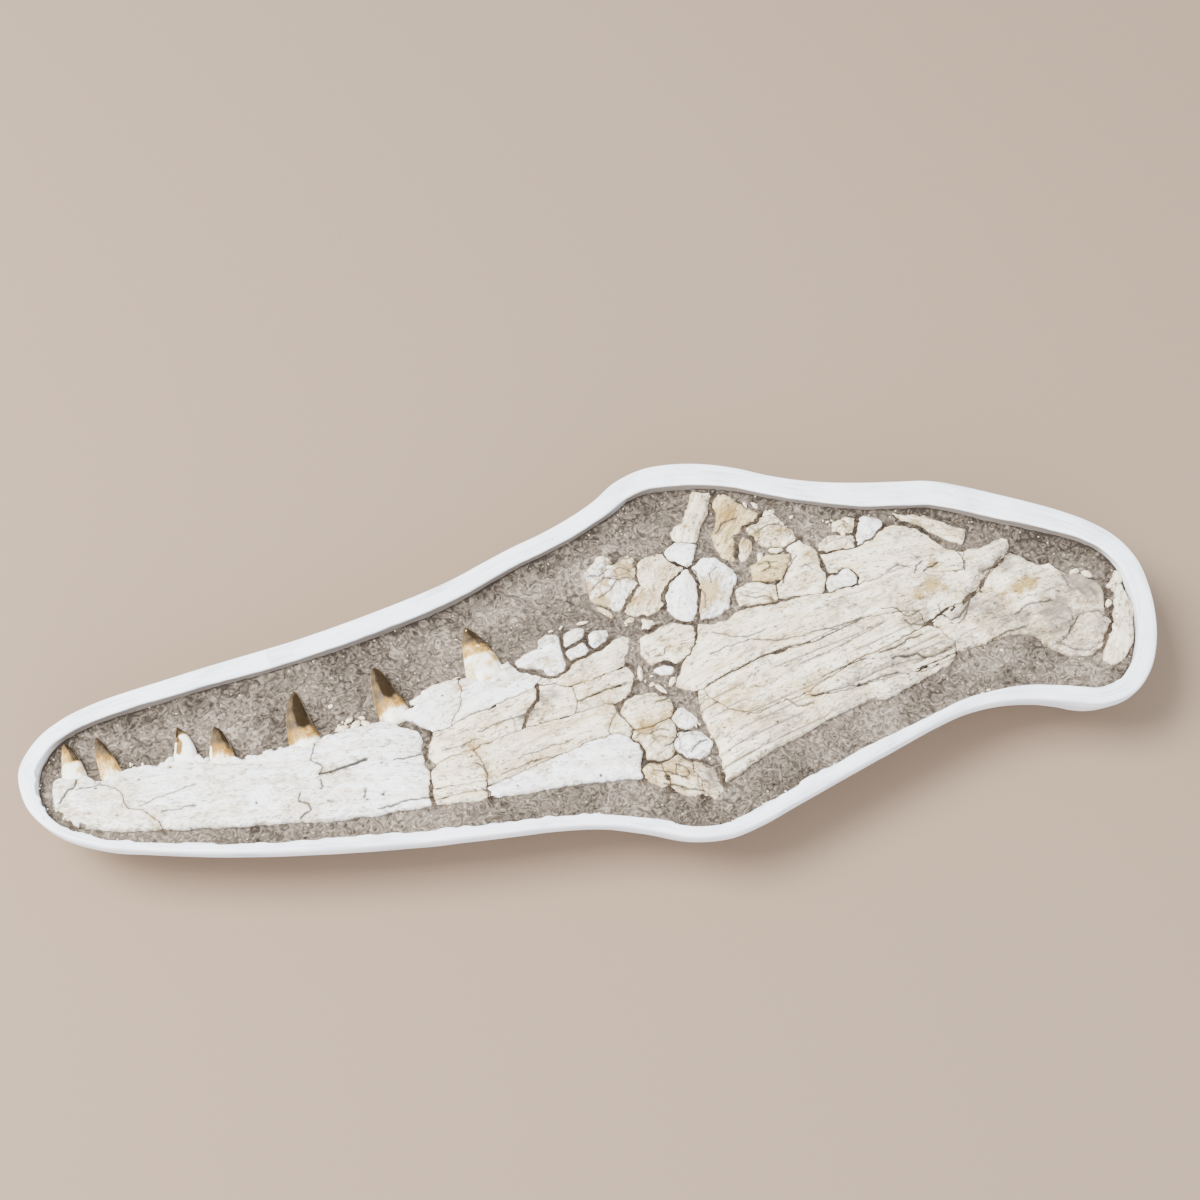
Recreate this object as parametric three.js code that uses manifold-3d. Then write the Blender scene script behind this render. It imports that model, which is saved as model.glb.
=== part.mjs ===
// Lower jaw of a mosasaur, life size, lying in the plaster field jacket that it was lifted in.
// Millimetres, +Z up. The origin is under the middle of the jacket, on the surface it rests on.
import * as THREE from 'three';
import Module from 'manifold-3d';

const wasm = await Module();
wasm.setup();

// Levels above the resting surface.
const RIM_TOP = 86;
const RIM_LIP = 81;
const RIM_ROUND = 1.6;
const MATRIX_LEVEL = 72;
const MATRIX_SWELL = 1.6;
const CAVITY_FLOOR = 18;
const BONE_BED = 64;
const ABOVE_ALL = 130;

// Spaces between pieces.
const FIT_GAP = 0.3;
const BONE_GAP = 0.6;
const POCKET_GAP = 1.3;

// Sampling of the curved shapes.
const RIM_STEPS = 76;
const MATRIX_STEP = 40;
const BONE_STEP = 28;
const TOOTH_SIDES = 8;
const TOOTH_RINGS = 5;

// The drawing of the bones is laid this far from the middle of the jacket.
const JAW_PLACE = new THREE.Vector2(0, -2);

// How far inside the rim's outline the jacket's hull runs, as [height, inset]; it ends on the flat foot.
const HULL = [[0, 66], [5, 57], [20, 39], [38, 23], [56, 10], [70, 2.5], [RIM_LIP, 0]];

// How far the cavity's wall lies inside the inner edge of the rim, as [height, inset].
const CAVITY = [[MATRIX_LEVEL, 1], [52, 20], [34, 38], [CAVITY_FLOOR, 56]];

// Outline of the jacket's rim seen from above, with the rim's thickness there: x, y, thickness.
const RIM = [
  [-575, -147.5, 22], [-561, -107, 23], [-525, -77, 21], [-435, -37.5, 18], [-298, 14.5, 17],
  [-169, 77.5, 17], [-105, 120.5, 18], [-56, 150.5, 18], [-16, 182.5, 20], [16, 216.5, 22],
  [48, 233.5, 26], [89, 239.5, 30], [133, 236.5, 28], [185, 222.5, 24], [234, 214.5, 27],
  [290, 213.5, 31], [360, 215.5, 33], [411, 202.5, 30], [468, 184.5, 26], [516, 164.5, 22],
  [548, 140.5, 20], [566, 112, 19], [575, 60, 18], [571.5, 10, 18], [564, -18.5, 19],
  [545, -50, 20], [518, -68, 20], [484, -68, 19], [443, -64.5, 17], [403, -67.5, 16],
  [363, -79.5, 14], [306, -111.5, 12], [202, -176.5, 11], [137, -214.5, 9.5], [101, -223.5, 9],
  [64, -217.5, 9], [24, -210.5, 9.5], [-24, -209.5, 9], [-97, -218.5, 9], [-177, -228.5, 9],
  [-274, -236.5, 9], [-363, -239.5, 9], [-427, -237.5, 9], [-476, -232.5, 10], [-516, -216.5, 12],
  [-548, -192.5, 16], [-569, -168.5, 20],
];

// Line along the middle of the jacket that its hull and cavity draw in towards.
const SPINE = [[-455, -150], [-300, -128], [-120, -55], [60, 0], [250, 60], [430, 60]];

// Bones in the order they are set. The outline is seen from above. The top starts at edge height and rises
// by rise over the distance reach from the outline. Cracks part a bone into fragments: they hold points,
// width and, where rock fills them, filled. Teeth hold root, middle, tip and their width at the root.
const BONES = [
  {
    name: 'dentary_front', edge: 78, rise: 8, reach: 22,
    outline: [
      [-542, -154], [-542.5, -166], [-535, -187], [-526, -198], [-517, -206], [-498, -207], [-473, -209],
      [-427, -208], [-350, -203], [-270, -199], [-230, -193], [-168, -181], [-170, -160], [-171, -145],
      [-178, -136], [-181, -111], [-187, -98], [-203, -92], [-213, -85], [-230, -87], [-264, -97],
      [-288, -110], [-332, -120], [-365, -133], [-402, -133], [-444, -139], [-473, -140], [-480, -145],
      [-488, -152], [-499, -159], [-503, -152], [-511, -148], [-522, -152], [-538, -151],
    ],
    cracks: [
      { width: 1.2, points: [[-503, -150], [-495, -159], [-482, -164], [-473, -170], [-464, -186],
        [-450, -189], [-440, -194], [-432, -202], [-424, -214]] },
    ],
    teeth: [
      { root: [-519, -162], middle: [-526, -134], tip: [-536, -111], width: 23 },
      { root: [-480, -158], middle: [-494, -127], tip: [-505, -105], width: 20 },
      { root: [-414, -142], middle: [-417, -115], tip: [-426, -94], width: 24 },
      { root: [-376, -142], middle: [-381, -112], tip: [-387, -92], width: 24 },
      { root: [-292, -122], middle: [-305, -84], tip: [-312, -50], width: 31 },
      { root: [-205, -86], middle: [-221, -49], tip: [-233, -21], width: 29 },
    ],
  },
  {
    name: 'dentary_rear', edge: 78, rise: 8, reach: 24,
    outline: [
      [-162, -180], [-112, -173], [-52, -161], [-1, -153], [32, -150], [38.6, -150], [38, -120], [33, -112],
      [28, -104], [30, -93], [16, -77], [12, -66], [21, -58], [28, -48], [31, -30], [25, -20], [24, -7],
      [27, 6], [26, 18], [20, 20], [11, 14], [1, 4], [-16, -7], [-31, -18], [-37, -27], [-48, -35],
      [-60, -35], [-72, -30], [-86, -26], [-97, -14], [-112, -21], [-128, -29], [-148, -34], [-174, -42],
      [-184, -49], [-187, -64], [-206, -77], [-185, -90], [-174, -95], [-171, -104], [-174, -115],
      [-173, -127], [-166, -136], [-170, -143], [-169, -155], [-164, -178],
    ],
    cracks: [
      { width: 1.0, points: [[-149, -28], [-143, -52], [-144, -71], [-152, -92]] },
      { width: 1.2, points: [[-178, -101], [-160, -97], [-150, -91], [-112, -73], [-70, -50], [-60, -26]] },
      { width: 5.0, filled: true, points: [[-66, -43], [-65, -63], [-76, -80], [-80, -99]] },
      { width: 3.0, filled: true, points: [[-64, -45], [-46, -44], [-30, -48]] },
      { width: 1.2, points: [[-178, -141], [-157, -132], [-126, -121], [-78, -98], [-30, -81], [-7, -71],
        [4, -65], [22, -63]] },
      { width: 1.2, points: [[-112, -182], [-110, -168], [-116, -163], [-70, -142], [-41, -127], [-12, -112],
        [17, -101], [38, -106]] },
      { width: 1.2, points: [[-174, -179], [-160, -175], [-137, -168], [-112, -165]] },
      { width: 1.0, points: [[-129, -120], [-118, -136], [-113, -150], [-114, -165]] },
      { width: 1.0, points: [[-176, -164], [-150, -163], [-124, -157], [-112, -155]] },
      { width: 1.0, points: [[-31, -48], [-16, -40], [5, -30], [34, -16]] },
      { width: 1.0, points: [[-31, -47], [-25, -66], [-27, -83]] },
      { width: 1.0, points: [[-26, -66], [6, -49], [38, -35]] },
      { width: 1.0, points: [[15, -70], [7, -92], [6, -101], [9, -107]] },
    ],
    teeth: [
      { root: [-116, -38], middle: [-127, -2], tip: [-143, 29], width: 34 },
    ],
  },
  {
    name: 'dentary_chip_a', edge: 77, rise: 5, reach: 12,
    outline: [
      [-90, -13], [-81, -4], [-67, 4], [-67, 14], [-59, 20], [-47, 19], [-44, 6], [-38, -15], [-38, -26],
      [-49, -31], [-57, -30], [-62, -23], [-74, -22], [-86, -19],
    ],
  },
  {
    name: 'dentary_chip_b', edge: 77, rise: 4, reach: 10,
    outline: [[-41, 20], [-31, 28], [-19, 28], [-19, 19], [-28, 11], [-39, 3]],
  },
  {
    name: 'dentary_chip_c', edge: 77, rise: 4, reach: 10,
    outline: [[-15, 19], [-8, 26], [5, 26], [5, 10], [-8, 3], [-14, 9]],
  },
  {
    name: 'dentary_chip_d', edge: 77, rise: 4, reach: 10,
    outline: [[-38, -2], [-20, 11], [-16, 3], [-17, -5], [-31, -12]],
  },
  {
    name: 'crushed_bone', edge: 76, rise: 7, reach: 16,
    outline: [
      [-21, 97], [-17, 79], [-10, 61], [-1, 59], [15, 51], [21, 54], [27, 68], [37, 84], [34, 98],
      [33, 118], [26, 121], [12, 112], [6, 120], [-6, 116], [-14, 108],
    ],
  },
  {
    name: 'splenial_plate_a', edge: 77, rise: 6, reach: 18,
    outline: [
      [36, 106], [41, 116], [55, 122], [63, 122], [66, 116], [86, 106], [70, 86], [64, 71], [63, 57],
      [57, 50], [46, 46], [33, 46], [23, 50], [28, 67], [39, 84], [36, 96],
    ],
  },
  {
    name: 'splenial_plate_b', edge: 77, rise: 5, reach: 14,
    outline: [[67, 128], [77, 137], [98, 136], [97, 118], [89, 107], [79, 111], [69, 118]],
  },
  {
    name: 'splenial_plate_c', edge: 77, rise: 6, reach: 16,
    outline: [
      [89, 104], [94, 97], [99, 85], [99, 68], [96, 50], [92, 38], [84, 37], [75, 44], [67, 53], [65, 70],
      [73, 85], [83, 98],
    ],
  },
  {
    name: 'splenial_plate_d', edge: 77, rise: 6, reach: 16,
    outline: [
      [95, 107], [106, 117], [119, 119], [135, 103], [141, 96], [137, 79], [131, 56], [121, 47],
      [103, 41], [100, 52], [104, 65], [102, 79], [99, 95],
    ],
  },
  {
    name: 'splenial_plate_e', edge: 77, rise: 6, reach: 16,
    outline: [
      [39, 16], [48, 24], [73, 34], [90, 33], [95, 28], [95, 16], [92, 3], [86, -8], [75, -15],
      [61, -11], [50, -15], [44, -10], [39, 0],
    ],
  },
  {
    name: 'splenial_chip_a', edge: 76, rise: 4, reach: 8,
    outline: [[41, 39], [52, 40], [56, 33], [47, 25], [41, 28]],
  },
  {
    name: 'splenial_chip_b', edge: 75, rise: 4, reach: 8,
    outline: [[52, -24], [58, -18], [66, -17], [73, -20], [70, -26], [60, -28]],
  },
  {
    name: 'hinge_block_a', edge: 77, rise: 7, reach: 14,
    outline: [
      [19, -75], [22, -62], [33, -54], [48, -51], [66, -58], [69, -65], [69, -79], [52, -88],
      [37, -93], [31, -92], [23, -83],
    ],
  },
  {
    name: 'hinge_block_b', edge: 77, rise: 7, reach: 14,
    outline: [
      [32, -97], [52, -90], [69, -82], [72, -92], [70, -112], [72, -119], [66, -127], [57, -130],
      [46, -127], [40, -112], [31, -103],
    ],
  },
  {
    name: 'hinge_rubble', edge: 76, rise: 7, reach: 14,
    outline: [
      [41, -151], [40, -138], [46, -133], [57, -136], [66, -129], [74, -122], [83, -129], [97, -132],
      [103, -138], [108, -138], [114, -148], [117, -158], [120, -163], [113, -171], [97, -171],
      [75, -164], [57, -158],
    ],
    cracks: [
      { width: 1.2, points: [[59, -126], [60, -143], [66, -152], [68, -168]] },
      { width: 1.2, points: [[88, -124], [90, -142], [98, -156], [100, -178]] },
    ],
  },
  {
    name: 'hinge_block_c', edge: 76, rise: 5, reach: 10,
    outline: [[71, -80], [73, -71], [82, -70], [92, -78], [96, -86], [84, -91], [75, -90]],
  },
  {
    name: 'hinge_block_d', edge: 77, rise: 6, reach: 12,
    outline: [
      [74, -98], [90, -96], [102, -100], [108, -110], [105, -121], [97, -128], [83, -126],
      [74, -117], [72, -105],
    ],
  },
  {
    name: 'postdentary', edge: 78, rise: 8, reach: 26,
    outline: [
      [75, -42], [79, -29], [84, -15], [92, 0], [97, 16], [98, 32], [113, 34], [132, 39], [137, 48],
      [157, 54], [203, 65], [237, 74], [271, 83], [271, 96], [262, 105], [252, 104], [250, 99], [241, 98],
      [236, 114], [233, 124], [262, 128], [283, 139], [293, 146], [304, 160], [313, 163], [321, 162],
      [340, 156], [351, 143], [369, 129], [384, 127], [402, 131], [427, 144], [434, 140], [432, 127],
      [445, 119], [456, 112], [474, 109], [493, 97], [505, 97], [518, 90], [526, 77], [524, 45],
      [529, 37], [522, 23], [514, 5], [500, -5], [483, -6], [471, 0], [456, 8], [449, 17], [438, 21],
      [423, 21], [389, 8], [369, 0], [358, -14], [347, -20], [300, -49], [287, -56], [269, -60],
      [223, -85], [156, -127], [130, -150], [121, -156], [117, -127], [113, -110], [106, -92],
      [101, -78], [98, -60], [98, -49],
    ],
    cracks: [
      { width: 1.6, points: [[88, -53], [103, -48], [108, -58], [132, -76], [158, -79], [180, -67],
        [199, -60], [232, -36], [264, -14], [295, 2], [333, 29], [361, 48], [395, 72], [408, 69]] },
      { width: 4.0, filled: true, points: [[333, 29], [348, 38], [363, 49]] },
      { width: 1.6, points: [[440, 133], [424, 112], [410, 98], [400, 84], [395, 70]] },
      { width: 1.0, points: [[101, -50], [121, -35], [165, -11], [200, 2], [235, 20], [268, 35], [312, 46],
        [330, 44], [334, 28]] },
      { width: 1.0, points: [[258, 84], [270, 83], [321, 102], [345, 96], [365, 97], [381, 99], [385, 130]] },
      { width: 1.2, points: [[196, -58], [238, -54], [269, -43], [311, -30], [347, -12], [370, 1]] },
      { width: 1.2, points: [[332, 30], [346, 26], [353, 17], [363, 8], [366, -14]] },
    ],
  },
  {
    name: 'end_slab', edge: 77, rise: 5, reach: 12,
    outline: [
      [513, -10], [522, 14], [530, 38], [535, 56], [540, 75], [534, 86], [541, 100], [547, 94],
      [549, 78], [556, 60], [553, 38], [548, 10], [536, -8], [526, -15],
    ],
  },
  {
    name: 'rod_bone_a', edge: 78, rise: 6, reach: 10,
    outline: [
      [97, 207], [117, 206], [113, 180], [104, 164], [101, 147], [97, 139], [79, 139], [75, 151],
      [77, 160], [86, 163], [91, 180],
    ],
  },
  {
    name: 'rod_bone_b', edge: 78, rise: 6, reach: 10,
    outline: [[312, 177], [347, 175], [390, 156], [386, 139], [375, 142], [345, 160], [330, 167]],
  },
  {
    name: 'coronoid_plate_a', edge: 77, rise: 7, reach: 18,
    outline: [
      [132, 205], [150, 189], [168, 177], [165, 168], [150, 159], [140, 147], [141, 124], [139, 117],
      [128, 120], [121, 133], [116, 147], [122, 160], [124, 178], [121, 190], [124, 203],
    ],
  },
  {
    name: 'coronoid_plate_b', edge: 76, rise: 4, reach: 8,
    outline: [[146, 147], [158, 143], [158, 130], [152, 117], [146, 117], [144, 129]],
  },
  {
    name: 'coronoid_plate_c', edge: 77, rise: 6, reach: 14,
    outline: [
      [151, 161], [163, 170], [177, 181], [190, 171], [195, 160], [203, 155], [208, 144], [195, 137],
      [175, 135], [168, 140], [160, 147],
    ],
  },
  {
    name: 'coronoid_plate_d', edge: 77, rise: 5, reach: 14,
    outline: [[158, 107], [164, 112], [176, 121], [200, 122], [190, 91], [160, 90]],
  },
  {
    name: 'coronoid_plate_e', edge: 77, rise: 5, reach: 14,
    outline: [[141, 75], [155, 86], [172, 85], [182, 81], [183, 67], [161, 60], [145, 58]],
  },
  {
    name: 'coronoid_plate_f', edge: 77, rise: 6, reach: 16,
    outline: [
      [203, 119], [196, 133], [209, 143], [225, 130], [230, 124], [229, 104], [236, 97], [233, 80],
      [228, 73], [205, 69], [185, 69], [184, 82], [191, 89],
    ],
  },
  {
    name: 'coronoid_plate_g', edge: 77, rise: 5, reach: 12,
    outline: [[237, 92], [242, 97], [251, 98], [254, 103], [261, 103], [269, 95], [269, 85], [239, 77]],
  },
  {
    name: 'coronoid_plate_h', edge: 77, rise: 6, reach: 16,
    outline: [[279, 176], [299, 171], [304, 162], [293, 148], [272, 134], [271, 147], [275, 166]],
  },
  {
    name: 'coronoid_plate_i', edge: 76, rise: 5, reach: 10,
    outline: [[247, 156], [250, 168], [264, 174], [274, 172], [270, 150], [253, 151]],
  },
  {
    name: 'coronoid_plate_j', edge: 76, rise: 5, reach: 12,
    outline: [[232, 139], [243, 148], [253, 149], [270, 148], [271, 135], [261, 130], [232, 127]],
  },
];

const MATERIALS = {
  plaster: { color: 0xeef0f3, roughness: 0.85, metalness: 0 },
  matrix: { color: 0xa0968a, roughness: 0.95, metalness: 0 },
  bone: { color: 0xe8e4dc, roughness: 0.75, metalness: 0 },
};

function solidOf(positions, faces) {
  return new wasm.Manifold(new wasm.Mesh({
    numProp: 3,
    vertProperties: new Float32Array(positions),
    triVerts: new Uint32Array(faces),
  }));
}

// A closed solid through rings of equal length, each counter-clockwise seen from the last ring's side.
// Level end rings are closed as outlines, and upright ones, which are convex, as fans.
function throughRings(rings, capOf) {
  const count = rings[0].length;
  const positions = rings.flat().flatMap((point) => [point.x, point.y, point.z]);
  const faces = [];
  for (let ring = 0; ring + 1 < rings.length; ring += 1) {
    for (let i = 0; i < count; i += 1) {
      const a = ring * count + i;
      const b = ring * count + ((i + 1) % count);
      faces.push(a, b, b + count, a, b + count, a + count);
    }
  }
  for (const [a, b, c] of capOf(rings[0])) {
    faces.push(a, c, b);
  }
  const last = (rings.length - 1) * count;
  for (const [a, b, c] of capOf(rings[rings.length - 1])) {
    faces.push(last + a, last + b, last + c);
  }
  return solidOf(positions, faces);
}

const outlineCap = (ring) => THREE.ShapeUtils.triangulateShape(ring, []);
const fanCap = (ring) => ring.slice(2).map((point, i) => [0, i + 1, i + 2]);

// An outline as vectors in the jacket's frame, counter-clockwise from above.
function traced(outline) {
  const points = outline.map(([x, y]) => new THREE.Vector2(x, y).add(JAW_PLACE));
  return THREE.ShapeUtils.isClockWise(points) ? points.reverse() : points;
}

// The outline moved out by a distance along the bisector of each corner; a negative distance moves it in.
function moved(points, distance) {
  return points.map((point, i) => {
    const before = points[(i + points.length - 1) % points.length];
    const after = points[(i + 1) % points.length];
    const one = point.clone().sub(before).normalize();
    const two = after.clone().sub(point).normalize();
    const bisector = new THREE.Vector2(one.y + two.y, -one.x - two.x).normalize();
    const spread = Math.max(0.6, bisector.x * one.y - bisector.y * one.x);
    return point.clone().addScaledVector(bisector, distance / spread);
  });
}

function level(points, height) {
  return points.map((point) => new THREE.Vector3(point.x, point.y, height));
}

function prism(points, bottom, top) {
  return throughRings([level(points, bottom), level(points, top)], outlineCap);
}

// An upright slab of even width that follows a line, used to cut a crack through a bone.
function slabAlong(line, width, bottom, top) {
  const points = line.map(([x, y]) => new THREE.Vector2(x, y).add(JAW_PLACE));
  const rings = points.map((point, i) => {
    const before = points[Math.max(0, i - 1)];
    const after = points[Math.min(points.length - 1, i + 1)];
    const along = after.clone().sub(before).normalize();
    const right = new THREE.Vector2(along.y, -along.x).multiplyScalar(width / 2);
    return [
      new THREE.Vector3(point.x - right.x, point.y - right.y, bottom),
      new THREE.Vector3(point.x - right.x, point.y - right.y, top),
      new THREE.Vector3(point.x + right.x, point.y + right.y, top),
      new THREE.Vector3(point.x + right.x, point.y + right.y, bottom),
    ];
  });
  return throughRings(rings, fanCap);
}

function distanceToOutline(x, y, points) {
  let nearest = Infinity;
  for (let i = 0; i < points.length; i += 1) {
    const a = points[i];
    const b = points[(i + 1) % points.length];
    const span = (b.x - a.x) ** 2 + (b.y - a.y) ** 2;
    const along = ((x - a.x) * (b.x - a.x) + (y - a.y) * (b.y - a.y)) / span;
    const t = Math.min(1, Math.max(0, along));
    nearest = Math.min(nearest, Math.hypot(x - a.x - t * (b.x - a.x), y - a.y - t * (b.y - a.y)));
  }
  return nearest;
}

// A block whose top follows a height function over a box, on a grid of about the given step.
function relief(box, step, bottom, height) {
  const columns = Math.max(2, Math.round((box.max.x - box.min.x) / step));
  const rows = Math.max(2, Math.round((box.max.y - box.min.y) / step));
  const positions = [];
  const faces = [];
  for (let j = 0; j <= rows; j += 1) {
    for (let i = 0; i <= columns; i += 1) {
      const x = THREE.MathUtils.lerp(box.min.x, box.max.x, i / columns);
      const y = THREE.MathUtils.lerp(box.min.y, box.max.y, j / rows);
      positions.push(x, y, height(x, y));
    }
  }
  const at = (i, j) => j * (columns + 1) + i;
  for (let j = 0; j < rows; j += 1) {
    for (let i = 0; i < columns; i += 1) {
      faces.push(at(i, j), at(i + 1, j), at(i + 1, j + 1));
      faces.push(at(i, j), at(i + 1, j + 1), at(i, j + 1));
    }
  }
  const border = [];
  for (let i = 0; i < columns; i += 1) {
    border.push(at(i, 0));
  }
  for (let j = 0; j < rows; j += 1) {
    border.push(at(columns, j));
  }
  for (let i = columns; i > 0; i -= 1) {
    border.push(at(i, rows));
  }
  for (let j = rows; j > 0; j -= 1) {
    border.push(at(0, j));
  }
  const foot = positions.length / 3;
  for (const index of border) {
    positions.push(positions[index * 3], positions[index * 3 + 1], bottom);
  }
  const centre = foot + border.length;
  positions.push((box.min.x + box.max.x) / 2, (box.min.y + box.max.y) / 2, bottom);
  border.forEach((index, k) => {
    const next = (k + 1) % border.length;
    faces.push(index, foot + k, foot + next, index, foot + next, border[next]);
    faces.push(foot + k, centre, foot + next);
  });
  return solidOf(positions, faces);
}

// A curved, tapering tooth that lies in the rock and points from its root to its tip.
const TOOTH_LEVEL = 75;
const TOOTH_FLATNESS = 0.72;
const TOOTH_TAPER = 0.62;
const TOOTH_POINT = 0.08;

function tooth({ root, middle, tip, width }, grow) {
  const [a, b, c] = [root, middle, tip].map(([x, y]) => new THREE.Vector2(x, y).add(JAW_PLACE));
  const control = b.clone().multiplyScalar(2).sub(a.clone().add(c).multiplyScalar(0.5));
  const line = new THREE.QuadraticBezierCurve(a, control, c);
  const rings = [];
  for (let ring = 0; ring <= TOOTH_RINGS; ring += 1) {
    const t = ring / TOOTH_RINGS;
    const centre = line.getPoint(t);
    const along = line.getTangent(t);
    const radius = (width / 2) * Math.max(TOOTH_POINT, (1 - t ** 1.6) ** TOOTH_TAPER) + grow;
    const points = [];
    for (let i = 0; i < TOOTH_SIDES; i += 1) {
      const angle = (-2 * Math.PI * i) / TOOTH_SIDES;
      const across = Math.cos(angle) * radius;
      const end = ring === TOOTH_RINGS ? grow : ring === 0 ? -grow : 0;
      points.push(new THREE.Vector3(
        centre.x + along.y * across + along.x * end,
        centre.y - along.x * across + along.y * end,
        TOOTH_LEVEL + Math.sin(angle) * radius * TOOTH_FLATNESS,
      ));
    }
    rings.push(points);
  }
  return throughRings(rings, fanCap);
}

// The closed pieces of a solid, largest first; crumbs of fewer cubic millimetres are left out.
const CRUMB = 150;

function pieces(solid) {
  return solid.decompose()
    .filter((piece) => piece.volume() > CRUMB)
    .sort((a, b) => b.volume() - a.volume());
}

function meshOf(name, solid, material) {
  const { vertProperties, triVerts } = solid.getMesh();
  const geometry = new THREE.BufferGeometry();
  geometry.setAttribute('position', new THREE.BufferAttribute(vertProperties, 3));
  geometry.setIndex(new THREE.BufferAttribute(triVerts, 1));
  geometry.computeVertexNormals();
  const mesh = new THREE.Mesh(geometry, new THREE.MeshStandardMaterial(MATERIALS[material]));
  mesh.name = name;
  return mesh;
}

// The rim's outline and the direction from each of its points towards the jacket's middle line.
const rimCurve = new THREE.CatmullRomCurve3(
  RIM.map(([x, y, thickness]) => new THREE.Vector3(x, y, thickness)), true, 'centripetal',
);
const rimPoints = rimCurve.getSpacedPoints(RIM_STEPS).slice(0, RIM_STEPS).reverse();
const spineCurve = new THREE.SplineCurve(SPINE.map(([x, y]) => new THREE.Vector2(x, y)));
const spinePoints = spineCurve.getPoints(200);

function inward(point) {
  const here = new THREE.Vector2(point.x, point.y);
  let nearest = spinePoints[0];
  for (const candidate of spinePoints) {
    if (candidate.distanceTo(here) < nearest.distanceTo(here)) {
      nearest = candidate;
    }
  }
  return nearest.clone().sub(here).normalize();
}

const rimDirections = rimPoints.map(inward);

// A ring of the jacket at a height, inset from the rim's outline, beyond the rim's thickness if asked.
function rimRing(height, inset, thicknesses) {
  return rimPoints.map((point, i) => {
    const distance = inset + thicknesses * point.z;
    return new THREE.Vector3(
      point.x + rimDirections[i].x * distance,
      point.y + rimDirections[i].y * distance,
      height,
    );
  });
}

// The space inside the jacket, drawn in by a gap all round, open upwards.
function cavity(gap) {
  const rings = CAVITY.map(([height, inset]) => rimRing(height, inset + gap, 1)).reverse();
  rings[0] = rings[0].map((point) => point.setZ(point.z + gap));
  rings.push(rimRing(ABOVE_ALL, CAVITY[0][1] + gap, 1));
  return throughRings(rings, outlineCap);
}

function plasterJacket() {
  const rings = HULL.map(([height, inset]) => rimRing(height, inset, 0));
  rings.push(rimRing(RIM_TOP - RIM_ROUND, RIM_ROUND, 0));
  rings.push(rimRing(RIM_TOP, 0, 1 / 3));
  return throughRings(rings, outlineCap).subtract(cavity(0));
}

// The rock's top: broad swells on the level that it was carved down to.
function matrixHeight(x, y) {
  const broad = Math.sin(x / 71 + 1.3) * Math.cos(y / 53 - 0.4);
  const narrow = Math.sin(x / 29 - y / 37);
  return MATRIX_LEVEL + MATRIX_SWELL * (0.65 * broad + 0.35 * narrow);
}

// One bone: its crowned block inside its outline, parted along its cracks, with its teeth.
function boneSolids(bone, taken, hollow) {
  const outline = traced(bone.outline);
  const box = new THREE.Box2().setFromPoints(outline).expandByScalar(2);
  const crown = (x, y) => {
    const inside = distanceToOutline(x, y, outline);
    return bone.edge + bone.rise * (1 - Math.exp(-inside / bone.reach));
  };
  let solid = relief(box, BONE_STEP, BONE_BED - 5, crown).intersect(prism(outline, BONE_BED, ABOVE_ALL));
  for (const neighbour of taken) {
    solid = solid.subtract(neighbour);
  }
  for (const crack of bone.cracks ?? []) {
    solid = solid.subtract(slabAlong(crack.points, crack.width, BONE_BED - 5, ABOVE_ALL));
  }
  const parts = pieces(solid);
  for (const shape of bone.teeth ?? []) {
    const rooted = parts.map((part) => part.intersect(tooth(shape, 0)).volume());
    const owner = rooted.indexOf(Math.max(...rooted));
    const slim = parts.filter((part, i) => i !== owner && rooted[i] > 0)
      .reduce((rest, part) => rest.subtract(part), tooth(shape, 0));
    parts[owner] = pieces(parts[owner].add(slim))[0];
  }
  return parts.map((part) => pieces(part.intersect(hollow))[0]);
}

// The room that a bone takes with its teeth, larger than it by a gap and open upwards.
function roomOf(bone, gap, bottom) {
  const outline = prism(moved(traced(bone.outline), gap), bottom, ABOVE_ALL);
  return (bone.teeth ?? []).reduce((room, shape) => room.add(tooth(shape, gap)), outline);
}

// The rock that fills a bone's wider cracks.
function crackFillings(bone) {
  return (bone.cracks ?? []).filter((crack) => crack.filled).map((crack) => (
    slabAlong(crack.points, crack.width - 2 * FIT_GAP, BONE_BED - 1, MATRIX_LEVEL + 3)
  ));
}

const specimen = new THREE.Group();
specimen.add(meshOf('plaster_jacket', plasterJacket(), 'plaster'));

const hollow = cavity(BONE_GAP);
const taken = [];
const jaw = new THREE.Group();
let rock = cavity(FIT_GAP).intersect(relief(
  new THREE.Box2().setFromPoints(rimPoints), MATRIX_STEP, CAVITY_FLOOR - 5, matrixHeight,
));
for (const bone of BONES) {
  const parts = boneSolids(bone, taken, hollow);
  parts.sort((a, b) => a.boundingBox().min[0] - b.boundingBox().min[0]);
  parts.forEach((part, i) => {
    const name = parts.length > 1 ? `${bone.name}_${i + 1}` : bone.name;
    jaw.add(meshOf(name, part, 'bone'));
  });
  taken.push(roomOf(bone, BONE_GAP, BONE_BED - 5));
  const pocket = roomOf(bone, POCKET_GAP, BONE_BED - FIT_GAP);
  rock = rock.subtract(crackFillings(bone).reduce((room, slab) => room.subtract(slab), pocket));
}
specimen.add(meshOf('rock_matrix', pieces(rock)[0], 'matrix'));
specimen.add(jaw);

export default specimen;
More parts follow.
